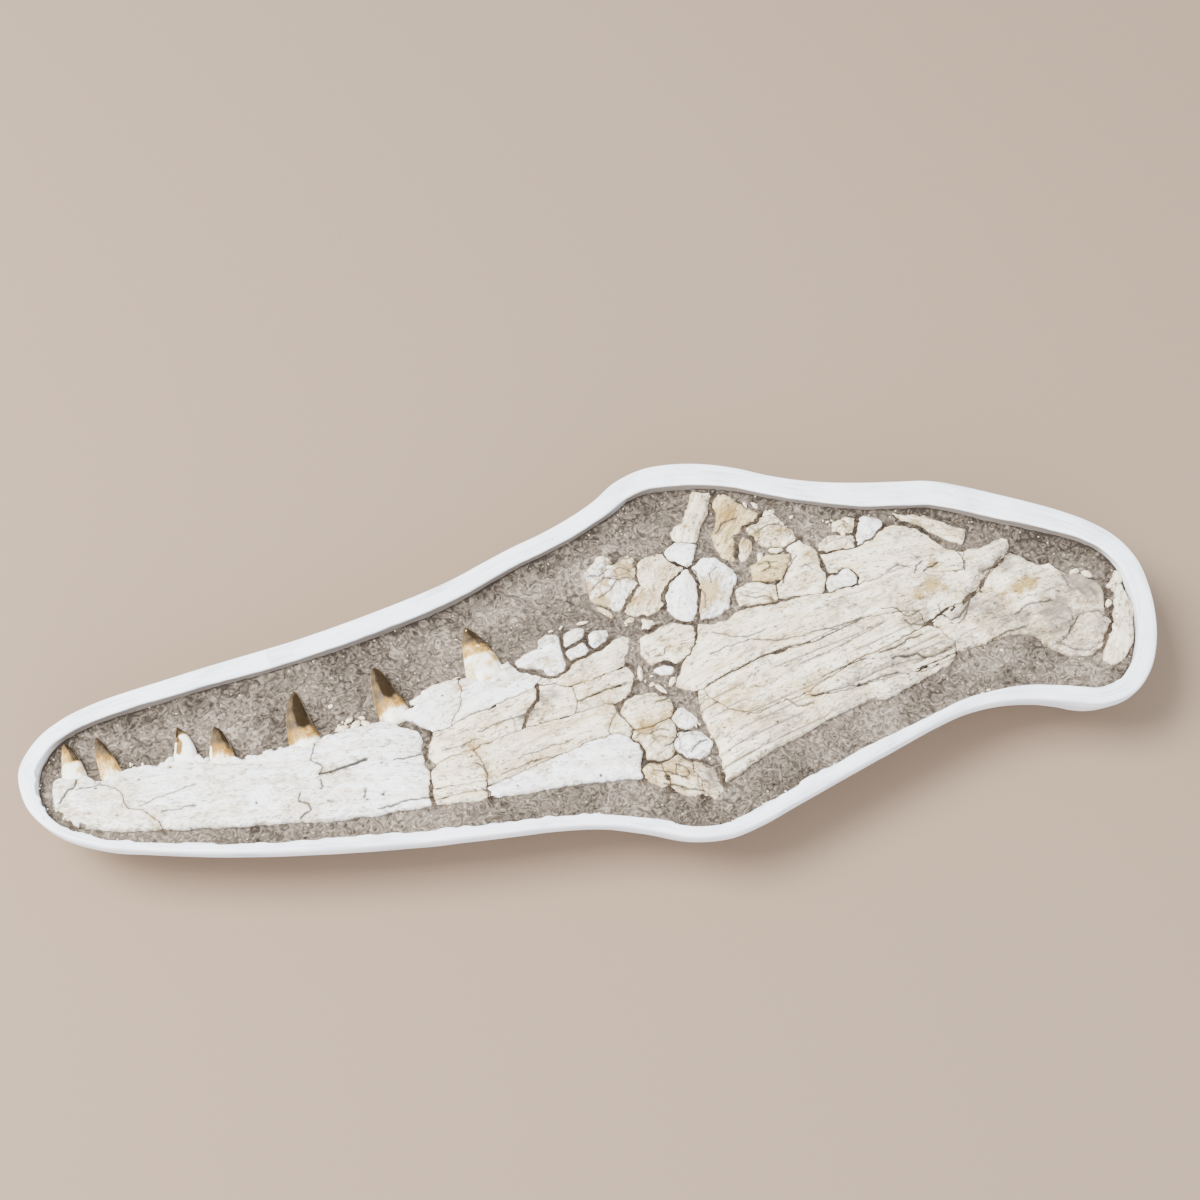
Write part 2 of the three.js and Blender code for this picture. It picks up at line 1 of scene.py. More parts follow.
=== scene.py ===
import math
import bpy
import numpy as np
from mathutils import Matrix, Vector


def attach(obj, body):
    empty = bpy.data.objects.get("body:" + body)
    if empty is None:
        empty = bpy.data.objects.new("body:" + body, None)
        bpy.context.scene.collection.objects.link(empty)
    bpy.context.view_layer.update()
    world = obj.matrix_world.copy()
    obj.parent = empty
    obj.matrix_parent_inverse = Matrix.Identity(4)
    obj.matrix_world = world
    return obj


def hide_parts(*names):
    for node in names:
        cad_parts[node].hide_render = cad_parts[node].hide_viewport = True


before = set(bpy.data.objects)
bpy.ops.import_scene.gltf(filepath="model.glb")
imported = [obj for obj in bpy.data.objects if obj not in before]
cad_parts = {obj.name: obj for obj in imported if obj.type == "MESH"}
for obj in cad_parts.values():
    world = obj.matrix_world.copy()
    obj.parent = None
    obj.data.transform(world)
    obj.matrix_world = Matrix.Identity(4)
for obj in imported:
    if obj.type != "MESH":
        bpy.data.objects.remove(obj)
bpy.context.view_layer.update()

# The plaster field jacket
# A shell of burlap strips soaked in plaster of Paris, laid over the fossil in the ground and lifted with it.
# Its rim was cut level and smoothed with a wet hand, which leaves fine streaks that follow the rim, a few
# pin holes and, along the front, a ragged inner edge where the plaster met the rock.
MM = 0.001
JACKET_STEPS = 1100
RIM_TOP = 86.0
RIM_LIP = 81.0
RIM_LENGTH = 2680
OUTER_ROLL = 2.6
INNER_ROLL = 1.8
NOISE_LOOP = 150
# The rim's width by the length along it, then the outer wall and the hollow's wall as height and inset.
RIM_WIDTH = [
    (0, 25), (110, 22), (214, 19), (280, 18), (310, 15), (335, 11), (360, 9), (400, 8), (482, 8.5),
    (590, 10), (700, 12), (857, 11), (965, 11), (1072, 14), (1150, 16), (1233, 13), (1286, 11), (1340, 13),
    (1393, 17), (1500, 20), (1608, 19), (1661, 23), (1715, 26), (1769, 30), (1850, 34), (1983, 33),
    (2036, 28), (2090, 26), (2144, 29), (2197, 31), (2251, 27), (2304, 23), (2412, 23), (2519, 25),
    (2626, 25),
]
HULL = [
    (0, 66), (1.5, 61), (5, 57), (12, 48), (20, 39), (29, 30.5), (38, 23), (47, 16), (56, 10), (64, 5.6),
    (70, 2.5), (76, 0.9),
]
CAVITY = [(66, 6), (52, 20), (34, 38), (18, 56)]
SPINE = np.array([(-455, -150), (-300, -128), (-120, -55), (60, 0), (250, 60), (430, 60)], float)


def lattice_value(i, j, layer):
    """A fixed random number from 0 to 1 for each crossing of a square lattice."""
    n = (i * 374761393 + j * 668265263 + layer * 974634777) & 0xFFFFFFFF
    n = ((n ^ (n >> 13)) * 1274126177) & 0xFFFFFFFF
    return ((n ^ (n >> 16)) & 0xFFFF) / 65535.0


def mottle(x, y, size, layer=0):
    """A smooth random field from -1 to 1, with blotches about size across."""
    u, v = np.asarray(x, float) / size, np.asarray(y, float) / size
    i, j = np.floor(u).astype(np.int64), np.floor(v).astype(np.int64)
    u, v = u - i, v - j
    u, v = u * u * u * (u * (6 * u - 15) + 10), v * v * v * (v * (6 * v - 15) + 10)
    near = lattice_value(i, j, layer) * (1 - u) + lattice_value(i + 1, j, layer) * u
    far = lattice_value(i, j + 1, layer) * (1 - u) + lattice_value(i + 1, j + 1, layer) * u
    return 2 * (near * (1 - v) + far * v) - 1


def rough(x, y, size, layer=0, octaves=3):
    """Mottle at several sizes, each half the one before it."""
    return sum(mottle(x, y, size / 2 ** k, layer + 7 * k) / 2 ** k for k in range(octaves)) / 1.6


def towards_spine(points, inset):
    """Points moved in from the outline towards the nearest place on the jacket's middle line."""
    best = np.full(len(points), 1e9)
    near = np.zeros_like(points)
    for a, b in zip(SPINE[:-1], SPINE[1:]):
        t = np.clip((points - a) @ (b - a) / ((b - a) @ (b - a)), 0, 1)
        q = a + t[:, None] * (b - a)
        d = np.hypot(*(points - q).T)
        near[d < best] = q[d < best]
        best = np.minimum(best, d)
    return points + (near - points) * (np.minimum(inset, best - 4) / best)[:, None]


def ring_at(node, level):
    """The CAD node's own ring of corners at a level, in order round the jacket, in millimetres."""
    co = np.array([v.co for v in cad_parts[node].data.vertices]) / MM
    co = np.unique(np.round(co[abs(co[:, 2] - level) < 0.1][:, :2], 2), axis=0)
    return co[np.argsort(np.arctan2(co[:, 1], co[:, 0] - 60))]


def even_loop(ring, count):
    """A smooth closed curve through the ring's corners, in equal steps."""
    n = len(ring)
    t = np.linspace(0, n, 40 * n, endpoint=False)
    i = np.floor(t).astype(int)
    f = (t - i)[:, None]
    p = [ring[(i + k) % n] for k in (-1, 0, 1, 2)]
    curve = 0.5 * (2 * p[1] + (p[2] - p[0]) * f + (2 * p[0] - 5 * p[1] + 4 * p[2] - p[3]) * f ** 2
                   + (3 * p[1] - p[0] - 3 * p[2] + p[3]) * f ** 3)
    run = np.r_[0, np.cumsum(np.hypot(*(np.roll(curve, -1, 0) - curve).T))]
    at = np.linspace(0, run[-1], count, endpoint=False)
    closed = np.vstack([curve, curve[:1]])
    return np.c_[np.interp(at, run, closed[:, 0]), np.interp(at, run, closed[:, 1])]


def tube_faces(rows, sides, start=0):
    """The faces of a tube of rings: squares between the rings, then its two ends."""
    row = [(k, (k + 1) % sides) for k in range(sides)]
    faces = [(at + a, at + b, at + b + sides, at + a + sides)
             for at in range(start, start + (rows - 1) * sides, sides) for a, b in row]
    last = start + (rows - 1) * sides
    return faces + [tuple(range(start, start + sides))[::-1], tuple(range(last, last + sides))]


def mesh_piece(name, points, faces, values, material, nodes=()):
    """A smooth mesh from points in millimetres, riding on the jacket's body, with its shading values."""
    mesh = bpy.data.meshes.new(name)
    mesh.from_pydata((np.asarray(points) * MM).tolist(), [], [list(f) for f in faces])
    mesh.validate()
    for key, value in values.items():
        value = np.asarray(value, np.float32)
        kind = "FLOAT" if value.ndim == 1 else "FLOAT_VECTOR"
        field = "value" if value.ndim == 1 else "vector"
        mesh.attributes.new(key, kind, "POINT").data.foreach_set(field, value.ravel())
    mesh.polygons.foreach_set("use_smooth", [True] * len(mesh.polygons))
    mesh.update()
    piece = bpy.data.objects.new(name, mesh)
    bpy.context.scene.collection.objects.link(piece)
    mesh.materials.append(material)
    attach(piece, "root")
    if nodes:
        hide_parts(*nodes)


def linear(code):
    """An sRGB hex colour as linear red, green, blue and alpha."""
    parts = [int(code[k:k + 2], 16) / 255 for k in (1, 3, 5)]
    return tuple(c / 12.92 if c <= 0.04045 else ((c + 0.055) / 1.055) ** 2.4 for c in parts) + (1.0,)


def finish(name):
    """An empty material with its surface shader, ready for nodes."""
    material = bpy.data.materials.new(name)
    material.use_nodes = True
    return material, material.node_tree, material.node_tree.nodes["Principled BSDF"]


def add(tree, kind, settings, out=0):
    """Adds a shader node and gives its output. Settings are its properties, a ramp's stops, and what each
    input holds: a value, a colour's hex code or the output that feeds it."""
    node = tree.nodes.new("ShaderNode" + kind)
    for key, value in settings.items():
        if key == "stops":
            points = node.color_ramp.elements
            while len(points) < len(value):
                points.new(0.5)
            for point, (place, colour) in zip(points, value):
                point.position = place
                point.color = linear(colour) if isinstance(colour, str) else (colour,) * 3 + (1.0,)
        elif isinstance(key, str) and hasattr(node, key):
            setattr(node, key, value)
        elif isinstance(value, bpy.types.NodeSocket):
            tree.links.new(value, node.inputs[key])
        else:
            node.inputs[key].default_value = linear(value) if isinstance(value, str) else value
    return node.outputs[out]


# Plaster of Paris over burlap, smoothed wet by hand: a cool white, quite matt, with streaks along the rim.
plaster, tree, shader = finish("plaster of Paris over burlap, hand smoothed")
run = add(tree, "Attribute", {"attribute_name": "run"}, "Vector")
at = add(tree, "Mapping", {"Vector": run, "Scale": (1 / 60, 1 / 1.6, 1)})
streak = add(tree, "TexNoise", {"Vector": at, "Scale": 1.0, "Detail": 4.0, "Roughness": 0.6,
                                "Distortion": 0.3})
at = add(tree, "Mapping", {"Vector": run, "Scale": (1 / 45, 1 / 18, 1)})
cloud = add(tree, "TexNoise", {"Vector": at, "Scale": 1.0, "Detail": 3.0})
lay = add(tree, "TexCoord", {}, "Object")
pinhole = add(tree, "TexVoronoi", {"Vector": lay, "Scale": 1 / (26 * MM)})
hole = add(tree, "ValToRGB", {"Fac": pinhole, "stops": [(0.0, 0.0), (0.022, 0.15), (0.035, 1.0)]})
tone = add(tree, "Math", {"operation": "MULTIPLY_ADD", 0: streak, 1: 0.5, 2: 0.0})
tone = add(tree, "Math", {"operation": "MULTIPLY_ADD", 0: cloud, 1: 0.5, 2: tone})
white = add(tree, "ValToRGB", {"Fac": tone, "stops": [
    (0.36, "#d0d5dd"), (0.45, "#ecf0f6"), (0.54, "#fcfeff")]})
# Marl colour on the hollow's walls: painted shade just under the back rim, and marl soil lower down.
soil = add(tree, "Attribute", {"attribute_name": "soil"}, "Fac")
dusty = add(tree, "Mix", {"data_type": "RGBA", 0: soil, 6: white, 7: "#685b4e"}, 2)
holed = add(tree, "Mix", {"data_type": "RGBA", 0: hole, 6: "#6b6158", 7: dusty}, 2)
tree.links.new(holed, shader.inputs["Base Color"])
grain = add(tree, "TexNoise", {"Vector": lay, "Scale": 1 / (1.4 * MM), "Detail": 3.0})
bump = add(tree, "Bump", {"Strength": 0.7, "Distance": 0.9 * MM, "Height": streak})
bump = add(tree, "Bump", {"Strength": 0.35, "Distance": 0.25 * MM, "Height": grain, "Normal": bump})
bump = add(tree, "Bump", {"Strength": 0.8, "Distance": 0.8 * MM, "Height": hole, "Normal": bump})
tree.links.new(bump, shader.inputs["Normal"])
shader.inputs["Roughness"].default_value = 0.82
shader.inputs["Specular IOR Level"].default_value = 0.35

# The rim's outline comes from the solid, fuller at the lower left. Its width is read round the jacket, and
# its section is finer than the solid's.
rim = even_loop(ring_at("plaster_jacket", RIM_LIP), JACKET_STEPS)
for fuller in (8.5, 0.0):
    ahead = np.roll(rim, -1, 0) - np.roll(rim, 1, 0)
    inward = np.c_[-ahead[:, 1], ahead[:, 0]] / np.hypot(*ahead.T)[:, None]
    step_run = np.r_[0, np.cumsum(np.hypot(*(np.roll(rim, -1, 0) - rim).T))][:-1]
    inward *= np.sign((inward * -rim).sum())
    rim = rim - fuller * np.exp(-((step_run - 352) / 52) ** 2)[:, None] * inward
thick = np.interp(step_run, *np.array(RIM_WIDTH, float).T, period=RIM_LENGTH)
for _ in range(25):
    thick = (np.roll(thick, 1) + 2 * thick + np.roll(thick, -1)) / 4
behind = np.clip(-1.6 * inward[:, 1] - 0.2, 0, 1)

rings = []
angle = 2 * math.pi * step_run / (step_run[-1] * (1 + 1 / JACKET_STEPS))
loop_x, loop_y = NOISE_LOOP * np.cos(angle), NOISE_LOOP * np.sin(angle)


def loop_noise(size, layer, level=0.0):
    """Mottle that closes on itself round the jacket; size is a length along the rim."""
    scale = 2 * math.pi * NOISE_LOOP / step_run[-1]
    return mottle(loop_x + level * 3.1, loop_y - level * 2.3, size * scale, layer)


front = np.clip(3 * inward[:, 1] - 0.3, 0, 1) * np.clip((300 - rim[:, 0]) / 60, 0.12, 1)
for height, inset in HULL:
    wave = (1.0 * loop_noise(90, 3, height / 30) + 0.5 * loop_noise(30, 4, height / 12)) * min(1, height / 20)
    wave = wave * (1 if height < 60 else 0.4)
    ring = towards_spine(rim, inset) + inward * wave[:, None]
    rings.append(np.c_[ring, np.full(JACKET_STEPS, float(height))])
for turn in np.linspace(0, 90, 9):
    cut = OUTER_ROLL * (1 - math.cos(math.radians(turn)))
    lift = OUTER_ROLL * (1 - math.sin(math.radians(turn)))
    shift = cut + 0.3 * loop_noise(90, 5) + 0.1 * loop_noise(24, 6)
    level = (RIM_TOP - 1.0 - lift + 0.3 * loop_noise(90, 7)
             - (RIM_TOP - 82 - OUTER_ROLL) * (1 - turn / 90) ** 2)
    rings.append(np.c_[rim + inward * shift[:, None], np.minimum(level, 86.4)])
top_start = 2.9
for k, share in enumerate(np.linspace(0.08, 0.92, 9)):
    reach = top_start + share * (thick - top_start - INNER_ROLL)
    dip = 0.45 * loop_noise(120, 8, share * 6) + 0.22 * loop_noise(40, 9, share * 9) - 0.25
    slope = 1.5 * (1 - np.clip(3 * reach / thick, 0, 1)) ** 2
    rings.append(np.c_[rim + inward * reach[:, None], np.minimum(RIM_TOP + dip * 0.7 - slope, 86.5)])
tear = np.clip(loop_noise(16, 10) + 0.6 * loop_noise(7, 11) + 0.25, 0, 1) * front
for turn in np.linspace(10, 90, 6):
    cut = INNER_ROLL * math.sin(math.radians(turn))
    fall = 1.5 * INNER_ROLL * (1 - math.cos(math.radians(turn)))
    reach = thick - INNER_ROLL + cut + (0.45 * loop_noise(26, 12) + 0.3 * loop_noise(9, 15)) + 3.0 * tear
    rings.append(np.c_[rim + inward * reach[:, None], RIM_TOP - fall - 0.2 - 2.0 * tear])
for drop in (6.5, 8.5, 10.5, 12.5, 15.0):
    wave = (0.4 * loop_noise(34, 13, drop) + 0.3 * loop_noise(12, 14, drop)) * min(1, drop / 5)
    reach = thick + 0.06 * drop + wave + 3.0 * tear * (1 - drop / 16)
    rings.append(np.c_[rim + inward * reach[:, None], np.full(JACKET_STEPS, RIM_TOP - drop)])
base = rim + inward * thick[:, None]
for height, inset in CAVITY:
    rings.append(np.c_[towards_spine(base, inset), np.full(JACKET_STEPS, float(height))])
rings = np.array(rings)
count = len(rings)
down = np.r_[0, np.cumsum(np.linalg.norm(np.diff(rings, axis=0), axis=2).mean(1))]
place = np.stack([np.broadcast_to(step_run, (count, JACKET_STEPS)),
                  np.broadcast_to(down[:, None], (count, JACKET_STEPS)), np.zeros((count, JACKET_STEPS))], 2)
# Just under the back rim the marl colour is painted shade of the back wall. Lower down, all round, it is marl
# soil where the plaster met the rock.
soil_and_shade_level = behind * np.clip((85.2 - rings[:, :, 2]) / 2.2, 0, 1)
soil_and_shade_level += np.clip((78 - rings[:, :, 2]) / 8, 0, 0.5)
soil_and_shade_level *= np.arange(count)[:, None] > count - 12
mesh_piece("plaster_jacket_smoothed", rings.reshape(-1, 3), tube_faces(count, JACKET_STEPS),
           {"run": place.reshape(-1, 3), "soil": soil_and_shade_level.clip(0, 0.95).ravel()}, plaster,
           ["plaster_jacket"])


# The rock
# Grey-brown marl that the jaw was buried in, still filling the jacket. It was cut back around the bones with
# small chisels and an air scribe, which leaves short curved strokes, crumbs and specks of shell.
ROCK_STEP = 1.60
ROCK_UNDER_BONE = 5.0
ROCK_LEVEL = 72
POCKET_FLOOR = 64.0
FAR_OUTSIDE = -40
# Hollows cut beside the teeth: x, y and size. The rock in them is also darkened as painted shadow of the
# teeth.
HOLLOWS = [
    (-512, -128, 9), (-482, -124, 9), (-404, -120, 11), (-366, -118, 12), (-284, -88, 17), (-196, -58, 18),
    (-104, -6, 22),
]
BONE_NODES = [name for name in sorted(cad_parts) if name not in ("plaster_jacket", "rock_matrix")]
JAW_PLACE = np.array([0, -2.0])
# Bones that are cracked into fragments or lie against the jacket's sloping wall: edge height, rise towards
# the middle, the reach of that rise, and the whole outline. Rock fills the cracks to just under the face.
CRACKED = ("dentary_front", "dentary_rear", "hinge_rubble", "postdentary")
WHOLE = {
    "dentary_front": (78, 8, 22, [
        (-542, -154), (-542.5, -166), (-535, -187), (-526, -198), (-517, -206), (-498, -207), (-473, -209),
        (-427, -208), (-350, -203), (-270, -199), (-230, -193), (-168, -181), (-170, -160), (-171, -145),
        (-178, -136), (-181, -111), (-187, -98), (-203, -92), (-213, -85), (-230, -87), (-264, -97),
        (-288, -110), (-332, -120), (-365, -133), (-402, -133), (-444, -139), (-473, -140), (-480, -145),
        (-488, -152), (-499, -159), (-503, -152), (-511, -148), (-522, -152), (-538, -151)]),
    "dentary_rear": (78, 8, 24, [
        (-162, -180), (-112, -173), (-52, -161), (-1, -153), (32, -150), (38.6, -150), (38, -120),
        (33, -112), (28, -104), (30, -93), (16, -77), (12, -66), (21, -58), (28, -48), (31, -30), (25, -20),
        (24, -7), (27, 6), (26, 18), (20, 20), (11, 14), (1, 4), (-16, -7), (-31, -18), (-37, -27),
        (-48, -35), (-60, -35), (-72, -30), (-86, -26), (-97, -14), (-112, -21), (-128, -29), (-148, -34),
        (-174, -42), (-184, -49), (-187, -64), (-206, -77), (-185, -90), (-174, -95), (-171, -104),
        (-174, -115), (-173, -127), (-166, -136), (-170, -143), (-169, -155), (-164, -178)]),
    "hinge_rubble": (76, 7, 14, [
        (41, -151), (40, -138), (46, -133), (57, -136), (66, -129), (74, -122), (83, -129), (97, -132),
        (103, -138), (108, -138), (114, -148), (117, -158), (120, -163), (113, -171), (97, -171),
        (75, -164), (57, -158)]),
    "postdentary": (78, 8, 26, [
        (75, -42), (79, -29), (84, -15), (92, 0), (97, 16), (98, 32), (113, 34), (132, 39), (137, 48),
        (157, 54), (203, 65), (237, 74), (271, 83), (271, 96), (262, 105), (252, 104), (250, 99), (241, 98),
        (236, 114), (233, 124), (262, 128), (283, 139), (293, 146), (304, 160), (313, 163), (321, 162),
        (340, 156), (351, 143), (369, 129), (384, 127), (402, 131), (427, 144), (434, 140), (432, 127),
        (445, 119), (456, 112), (474, 109), (493, 97), (505, 97), (518, 90), (526, 77), (524, 45),
        (529, 37), (522, 23), (514, 5), (500, -5), (483, -6), (471, 0), (456, 8), (449, 17), (438, 21),
        (423, 21), (389, 8), (369, 0), (358, -14), (347, -20), (300, -49), (287, -56), (269, -60),
        (223, -85), (156, -127), (130, -150), (121, -156), (117, -127), (113, -110), (106, -92), (101, -78),
        (98, -60), (98, -49)]),
    "end_slab": (77, 5, 12, [
        (513, -10), (522, 14), (530, 38), (535, 56), (540, 75), (534, 86), (541, 100), (547, 94), (549, 78),
        (556, 60), (553, 38), (548, 10), (536, -8), (526, -15)]),
    "rod_bone_a": (78, 6, 10, [
        (97, 207), (117, 206), (113, 180), (104, 164), (101, 147), (97, 139), (79, 139), (75, 151),
        (77, 160), (86, 163), (91, 180)]),
    "rod_bone_b": (78, 6, 10, [
        (312, 177), (347, 175), (390, 156), (386, 139), (375, 142), (345, 160), (330, 167)]),
    "coronoid_plate_a": (77, 7, 18, [
        (132, 205), (150, 189), (168, 177), (165, 168), (150, 159), (140, 147), (141, 124), (139, 117),
        (128, 120), (121, 133), (116, 147), (122, 160), (124, 178), (121, 190), (124, 203)]),
    "coronoid_plate_h": (77, 6, 16, [
        (279, 176), (299, 171), (304, 162), (293, 148), (272, 134), (271, 147), (275, 166)]),
}


def bed_outline(node):
    """The outline of a bone's solid on its bed, in millimetres, as one closed loop."""
    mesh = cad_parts[node].data
    co = np.round(np.array([v.co for v in mesh.vertices]) / MM, 2)
    keys = [tuple(c[:2]) for c in co]
    edges = {}
    for face in mesh.polygons:
        ids = list(face.vertices)
        if co[ids, 2].max() < 64.2:
            for a, b in zip(ids, ids[1:] + ids[:1]):
                edges[(keys[a], keys[b])] = True
    after = {a: b for a, b in edges if (b, a) not in edges}
    loops = []
    while after:
        at = next(iter(after))
        loop = []
        while at in after:
            loop.append(at)
            at = after.pop(at)
        loops.append(loop)
    return np.array(max(loops, key=len), float)


def depth_inside(x, y, loop):
    """Distance in from a closed outline, below zero outside it."""
    best = np.full(x.shape, 1e9)
    inside = np.zeros(x.shape, bool)
    for (ax, ay), (bx, by) in zip(loop, np.roll(loop, -1, axis=0)):
        ex, ey = bx - ax, by - ay
        t = np.clip(((x - ax) * ex + (y - ay) * ey) / (ex * ex + ey * ey + 1e-9), 0, 1)
        best = np.minimum(best, (x - ax - t * ex) ** 2 + (y - ay - t * ey) ** 2)
        if ay != by:
            inside ^= ((ay > y) != (by > y)) & (x < ex * (y - ay) / ey + ax)
    return np.where(inside, 1, -1) * np.sqrt(best)


def broken_edge(x, y):
    """Where a point of the drawn outlines lies once their straight runs are worn and broken."""
    return (x + 1.1 * mottle(x, y, 17, 51) + 1.1 * mottle(x, y, 6, 52) + 0.6 * mottle(x, y, 3, 55),
            y + 1.1 * mottle(x, y, 17, 53) + 1.1 * mottle(x, y, 6, 54) + 0.6 * mottle(x, y, 3, 56))


def grid_over(low, high, step):
    """A square grid of places over a box."""
    return np.meshgrid(np.arange(low[0], high[0], step), np.arange(low[1], high[1], step), indexing="ij")


def close_to(x, y, points, reach):
    """Which places lie in the box round some points, widened by reach."""
    low, high = points.min(0) - reach, points.max(0) + reach
    return (x > low[0]) & (x < high[0]) & (y > low[1]) & (y < high[1])


def softened(field, times):
    """A grid of values, evened out with their neighbours."""
    for _ in range(times):
        p = np.pad(field, 1, mode="edge")
        field = (p[:-2, 1:-1] + p[2:, 1:-1] + p[1:-1, :-2] + p[1:-1, 2:] + 4 * p[1:-1, 1:-1]) / 8
    return field


def cut_sheet(x, y, depth, step):
    """Keeps the squares of a grid that reach inside depth 0, and moves their outer corners onto that edge."""
    inside = depth > 0
    keep = inside[:-1, :-1] | inside[1:, :-1] | inside[1:, 1:] | inside[:-1, 1:]
    gx, gy = np.gradient(depth, step)
    out = np.minimum(depth, 0) / np.maximum(gx ** 2 + gy ** 2, 0.4)
    n = np.arange(x.size).reshape(x.shape)
    quads = np.stack([n[:-1, :-1], n[1:, :-1], n[1:, 1:], n[:-1, 1:]], -1)[keep]
    used = np.unique(quads)
    order = np.full(x.size, -1)
    order[used] = np.arange(len(used))
    return (x - out * gx).ravel()[used], (y - out * gy).ravel()[used], order[quads], used


def edge_loops(quads):
    """The loops of a sheet's free edges, each in the order of the faces beside them."""
    edges = np.vstack([quads[:, [k, (k + 1) % 4]] for k in range(4)])
    code = edges.min(1).astype(np.int64) * (quads.max() + 1) + edges.max(1)
    _, first, times = np.unique(code, return_index=True, return_counts=True)
    after = {}
    for a, b in edges[first[times == 1]].tolist():
        after.setdefault(a, []).append(b)
    loops = []
    while after:
        path = [next(iter(after))]
        while True:
            at = path[-1]
            to = after[at].pop()
            if not after[at]:
                del after[at]
            if to in path:
                k = path.index(to)
                loops.append(path[k:])
                path = path[:k + 1]
                if k == 0:
                    break
            else:
                path.append(to)
    return [loop for loop in loops if len(loop) > 2]


def closed_body(points, quads, rings_of):
    """Closes a sheet: walls go down from each edge, through the rings that rings_of gives, to a floor."""
    faces = quads.tolist()
    blocks, source, total = [points], [np.arange(len(points))], len(points)
    for loop in edge_loops(quads):
        above, n = loop, len(loop)
        for ring in rings_of(points[loop]):
            below = list(range(total, total + n))
            blocks.append(ring)
            source.append(np.array(loop))
            faces += [(above[(i + 1) % n], above[i], below[i], below[(i + 1) % n]) for i in range(n)]
            above, total = below, total + n
        faces.append(above[::-1])
    return np.vstack(blocks), faces, np.concatenate(source)


# Marl, chiselled and scribed: dry, quite matt and grey-brown, with swirled strokes, dark pits and specks.
marl, tree, shader = finish("marl, chiselled and air scribed")
lay = add(tree, "TexCoord", {}, "Object")
swirl = add(tree, "TexNoise", {"Vector": lay, "Scale": 1 / (10 * MM), "Detail": 5.0, "Roughness": 0.62,
                               "Distortion": 2.4})
broad = add(tree, "TexNoise", {"Vector": lay, "Scale": 1 / (60 * MM), "Detail": 3.0})
tone = add(tree, "Math", {"operation": "MULTIPLY_ADD", 0: broad, 1: 0.4, 2: -0.2})
# Painted shade on the rock: darker beside the teeth and along the back wall, with a touch of lighter tone
# towards the front right.
shade = add(tree, "Attribute", {"attribute_name": "shade"}, "Fac")
tone = add(tree, "Math", {"operation": "ADD", 0: tone, 1: shade})
tone = add(tree, "Math", {"operation": "ADD", 0: tone, 1: swirl})
colour = add(tree, "ValToRGB", {"Fac": tone, "stops": [
    (0.30, "#2d2721"), (0.42, "#4f463c"), (0.54, "#6f6458"), (0.68, "#9b8f80")]})
speck = add(tree, "TexVoronoi", {"Vector": lay, "Scale": 1 / (9 * MM)})
pale = add(tree, "ValToRGB", {"Fac": speck, "stops": [(0.0, 1.0), (0.07, 0.9), (0.13, 0.0)]})
pit = add(tree, "TexVoronoi", {"Vector": lay, "Scale": 1 / (17 * MM)})
hollow = add(tree, "ValToRGB", {"Fac": pit, "stops": [(0.0, 0.85), (0.05, 0.7), (0.09, 0.0)]})
colour = add(tree, "Mix", {"data_type": "RGBA", 0: pale, 6: colour, 7: "#bfae99"}, 2)
colour = add(tree, "Mix", {"data_type": "RGBA", 0: hollow, 6: colour, 7: "#2b241e"}, 2)
# Darker rock in the narrow spaces between bones: painted shade between the parts.
gap = add(tree, "Attribute", {"attribute_name": "gap"}, "Fac")
colour = add(tree, "Mix", {"data_type": "RGBA", "blend_type": "MULTIPLY", 0: gap, 6: colour, 7: "#a59d92"}, 2)
tree.links.new(colour, shader.inputs["Base Color"])
grit = add(tree, "TexNoise", {"Vector": lay, "Scale": 1 / (1.5 * MM), "Detail": 3.0})
bump = add(tree, "Bump", {"Strength": 0.9, "Distance": 1.3 * MM, "Height": swirl})
bump = add(tree, "Bump", {"Strength": 0.5, "Distance": 0.4 * MM, "Height": grit, "Normal": bump})
tree.links.new(bump, shader.inputs["Normal"])
shader.inputs["Roughness"].default_value = 0.95
shader.inputs["Specular IOR Level"].default_value = 0.2

outlines = {name: bed_outline(name) for name in BONE_NODES}
for name in WHOLE:
    if name in outlines:
        outlines[name] = np.array(WHOLE[name][3], float) + JAW_PLACE


def fragment_depth(node, x, y):
    """Distance in from a fragment's broken edge. Beside the jacket the solid's bed is cut back by the sloping
    wall, so there the fragment is read from 9.5 mm in and kept inside the whole bone's outline."""
    bx, by = broken_edge(x, y)
    if not node.startswith("dentary_front"):
        return depth_inside(bx, by, outlines[node])
    near = (x > BED_LINING[:, 0].min()) & (x < -150)
    room = depth_inside(bx, by, BED_LINING)
    gx, gy = np.gradient(room, x[1, 0] - x[0, 0])
    push = np.clip(9.5 - room, 0, 12) * near
    depth = depth_inside(bx + push * gx, by + push * gy, outlines[node])
    return np.minimum(depth, depth_inside(bx, by, np.array(WHOLE["dentary_front"][3]) + JAW_PLACE))


def crown(x, y, edge, rise, reach, outline):
    """The height of a whole bone's face, which rises from its edge towards its middle."""
    depth = np.maximum(depth_inside(*broken_edge(x, y), np.asarray(outline) + JAW_PLACE), 0)
    return edge + rise * (1 - np.exp(-depth / reach)), depth


